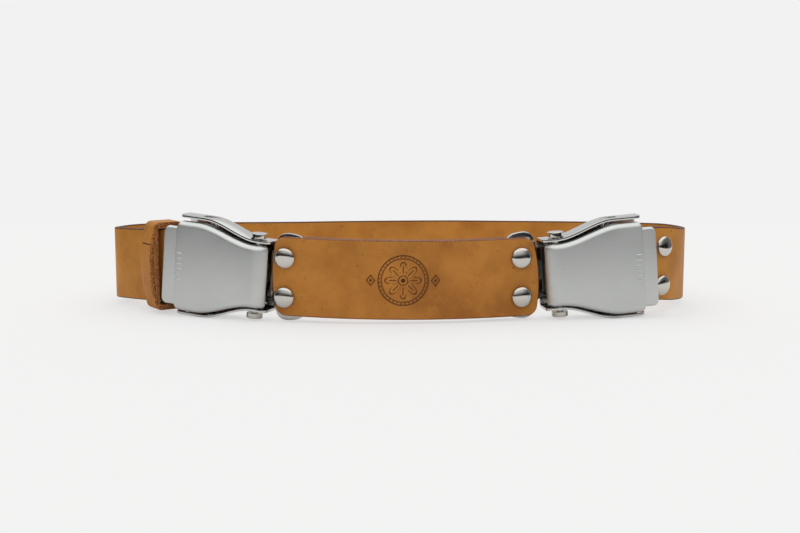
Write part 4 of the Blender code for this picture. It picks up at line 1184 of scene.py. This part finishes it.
def tongue_mesh(side):
    """Blade and head in one sheet, bent to the panel's end, with its window and its rivet slot."""
    points, run, outward, across = PANEL
    if side == "right":
        points, outward, across = points[::-1], outward[::-1], across[::-1]
        run = run[-1] - run[::-1]
    behind = PANEL_THICK + SEAT_GAP + TONGUE_SHEET / 2
    slip = TONGUE_SLIP[side]
    centres = [buckle_point(side, u, TONGUE_INNER_D, slip) for u, _ in TONGUE_BLADE]
    ups = [PLACES[side][3]] * len(TONGUE_BLADE)
    for s, _ in TONGUE_HEAD:
        point, out, up = [Vector(at_length(run, values, s)) for values in (points, outward, across)]
        centres.append(point + up * slip - out * behind)
        ups.append(up)
    steps = [(b - a).normalized() for a, b in zip(centres, centres[1:])]
    sections = []
    for i, (_, half) in enumerate([*TONGUE_BLADE, *TONGUE_HEAD]):
        mean = steps[max(i - 1, 0)] + steps[min(i, len(steps) - 1)]
        through = mean.cross(ups[i]).normalized() * TONGUE_SHEET / mean.length
        corners = ((-half, -1), (half, -1), (half, 1), (-half, 1))
        sections.append([centres[i] + ups[i] * w + through * t for w, t in corners])
    mesh = loft("tongue", sections)
    front, rear = TONGUE_INNER_D - CUT_REACH, TONGUE_INNER_D + CUT_REACH
    window = block("window", (WINDOW_U[0], front, -WINDOW_HALF), (WINDOW_U[1], rear, WINDOW_HALF))
    window.transform(buckle_matrix(side))
    middle = sum(TONGUE_SLOT) / 2
    point, out, wide = [Vector(at_length(run, values, middle)) for values in (points, outward, across)]
    out.normalize()
    wide.normalize()
    half = TONGUE_SLOT[1] - middle
    slot = block("slot", (-half, -TONGUE_SLOT_HALF, -CUT_REACH), (half, TONGUE_SLOT_HALF, CUT_REACH))
    turn = Matrix((wide.cross(out), wide, out)).transposed().to_4x4()
    slot.transform(Matrix.Translation(point - out * behind) @ turn)
    return eased(combined(mesh, [window, slot], "DIFFERENCE"), TONGUE_EASE, 3)


for side in PLACES:
    tongue = new_object(f"{side}_steel_tongue", tongue_mesh(side), CHROME)
    fit_piece(tongue, "belt", "chrome", f"{side}_tongue")


# Rivets
# Six domed rapid rivets, polished nickel on brass: four hold the panel's plies round the tongues, and two
# hold the strap's fold at the right buckle. Each is set with a punch and has a flat cap behind.

RIVET_CAP = 0.0067
RIVET_DOME = 0.0025
RIVET_RIM = 0.0005
RIVET_SHANK = 0.0020
RIVET_BACK = 0.0050
RIVET_BACK_THICK = 0.0012
RIVET_BACK_TAPER = 0.0005
BEND_ALLOWANCE = 0.0005
STRAP_RIVET_SPACING = 0.0258
STRAP_RIVET_XY = (0.1716, -0.0469)
STRAP_RIVET_DROP = 0.0014


def rivet_profile(grip):
    """Half outline of a rivet that grips a thickness of leather: dome, shank and the flat cap behind."""
    rim = SEAT_GAP + RIVET_RIM
    angles = np.linspace(0, math.pi / 2, 18)
    back = -grip - SEAT_GAP
    return [
        *[(RIVET_CAP * math.sin(a), rim + RIVET_DOME * math.cos(a)) for a in angles],
        (RIVET_CAP, SEAT_GAP),
        (RIVET_SHANK, SEAT_GAP),
        (RIVET_SHANK, back),
        (RIVET_BACK, back),
        (RIVET_BACK, back - RIVET_BACK_THICK + RIVET_BACK_TAPER),
        (RIVET_BACK - RIVET_BACK_TAPER, back - RIVET_BACK_THICK),
        (0.0, back - RIVET_BACK_THICK),
    ]


def rivet_tree():
    """Sets one rivet on every point of a mesh, with its dome facing the way that the point stores."""
    tree, given = new_tree("set_rivets", ("Rivet", "Object", None))
    stored = add_node(tree, "GeometryNodeInputNamedAttribute", {"Name": "facing"}, data_type="FLOAT_VECTOR")
    turn = add_node(tree, "FunctionNodeAlignRotationToVector", {"Vector": stored["Attribute"]}, axis="Z")[0]
    rivet = add_node(tree, "GeometryNodeObjectInfo", {"Object": given["Rivet"]}, transform_space="ORIGINAL")
    spots = {"Points": given["Geometry"], "Instance": rivet["Geometry"], "Rotation": turn}
    return close_tree(tree, given, add_node(tree, "GeometryNodeInstanceOnPoints", spots)[0])


def rivet_points(name, places, spacing, leans):
    """Loose points, above and below the middle of the leather, each facing out with a lean of its own."""
    spots = []
    facing = []
    for place, (point, out, wide) in enumerate(places):
        out, wide = Vector(out), Vector(wide)
        for end, sign in enumerate((1, -1)):
            sideways, up = leans[2 * place + end]
            spots.append(tuple(Vector(point) + wide * sign * spacing / 2))
            facing += list((out + wide.cross(out) * sideways + wide * up).normalized())
    mesh = bpy.data.meshes.new(name)
    mesh.from_pydata(spots, [], [])
    mesh.attributes.new("facing", "FLOAT_VECTOR", "POINT").data.foreach_set("vector", facing)
    return mesh


def strap_rivet_place():
    """Middle of the strap rivets on the strap's face, the way they face, and the way across."""
    i = int(np.argmin(np.linalg.norm(MAIN[:, :2] - STRAP_RIVET_XY, axis=1)))
    _, outward, upright = directions(MAIN)
    across = width_direction(MAIN[i], upright[i])
    out = Vector(outward[i])
    out = (out - across * out.dot(across)).normalized()
    return Vector(MAIN[i]) + out * STRAP_THICK / 2 - across * STRAP_RIVET_DROP, out, across


RIVETS = rivet_tree()
points, run, outward, across = PANEL
panel_places = []
for x, drop in PANEL_RIVETS:
    i = int(np.argmin(np.abs(points[:, 0] - x)))
    panel_places.append((points[i] - across[i] * drop, outward[i], across[i]))
panel_grip = 2 * PANEL_THICK + TONGUE_SHEET + 2 * SEAT_GAP
strap_grip = 2 * STRAP_THICK + PLY_GAP + BEND_ALLOWANCE
# Node names of each group's rivets, and how far each one leans sideways and up in its hole
PANEL_LEANS = {
    "left_upper": (0.02, -0.10),
    "left_lower": (0.0, -0.01),
    "right_upper": (0.0, 0.03),
    "right_lower": (0.03, 0.0),
}
STRAP_LEANS = {"upper": (0.0, 0.08), "lower": (0.0, -0.06)}
for name, grip, spacing, places, leans in (
    ("panel_rivet", panel_grip, PANEL_RIVET_SPACING, panel_places, PANEL_LEANS),
    ("strap_rivet", strap_grip, STRAP_RIVET_SPACING, [strap_rivet_place()], STRAP_LEANS),
):
    pattern = new_object("pattern", turned(name, rivet_profile(grip)))
    dots = rivet_points(name, places, spacing, list(leans.values()))
    mesh = grown(f"{name}s", RIVETS, {"Rivet": pattern, "Finish": NICKEL}, dots)
    bpy.data.objects.remove(pattern, do_unlink=True)
    fit_piece(new_object(f"{name}_set", mesh), "belt", "nickel", *[f"{name}_{end}" for end in leans])
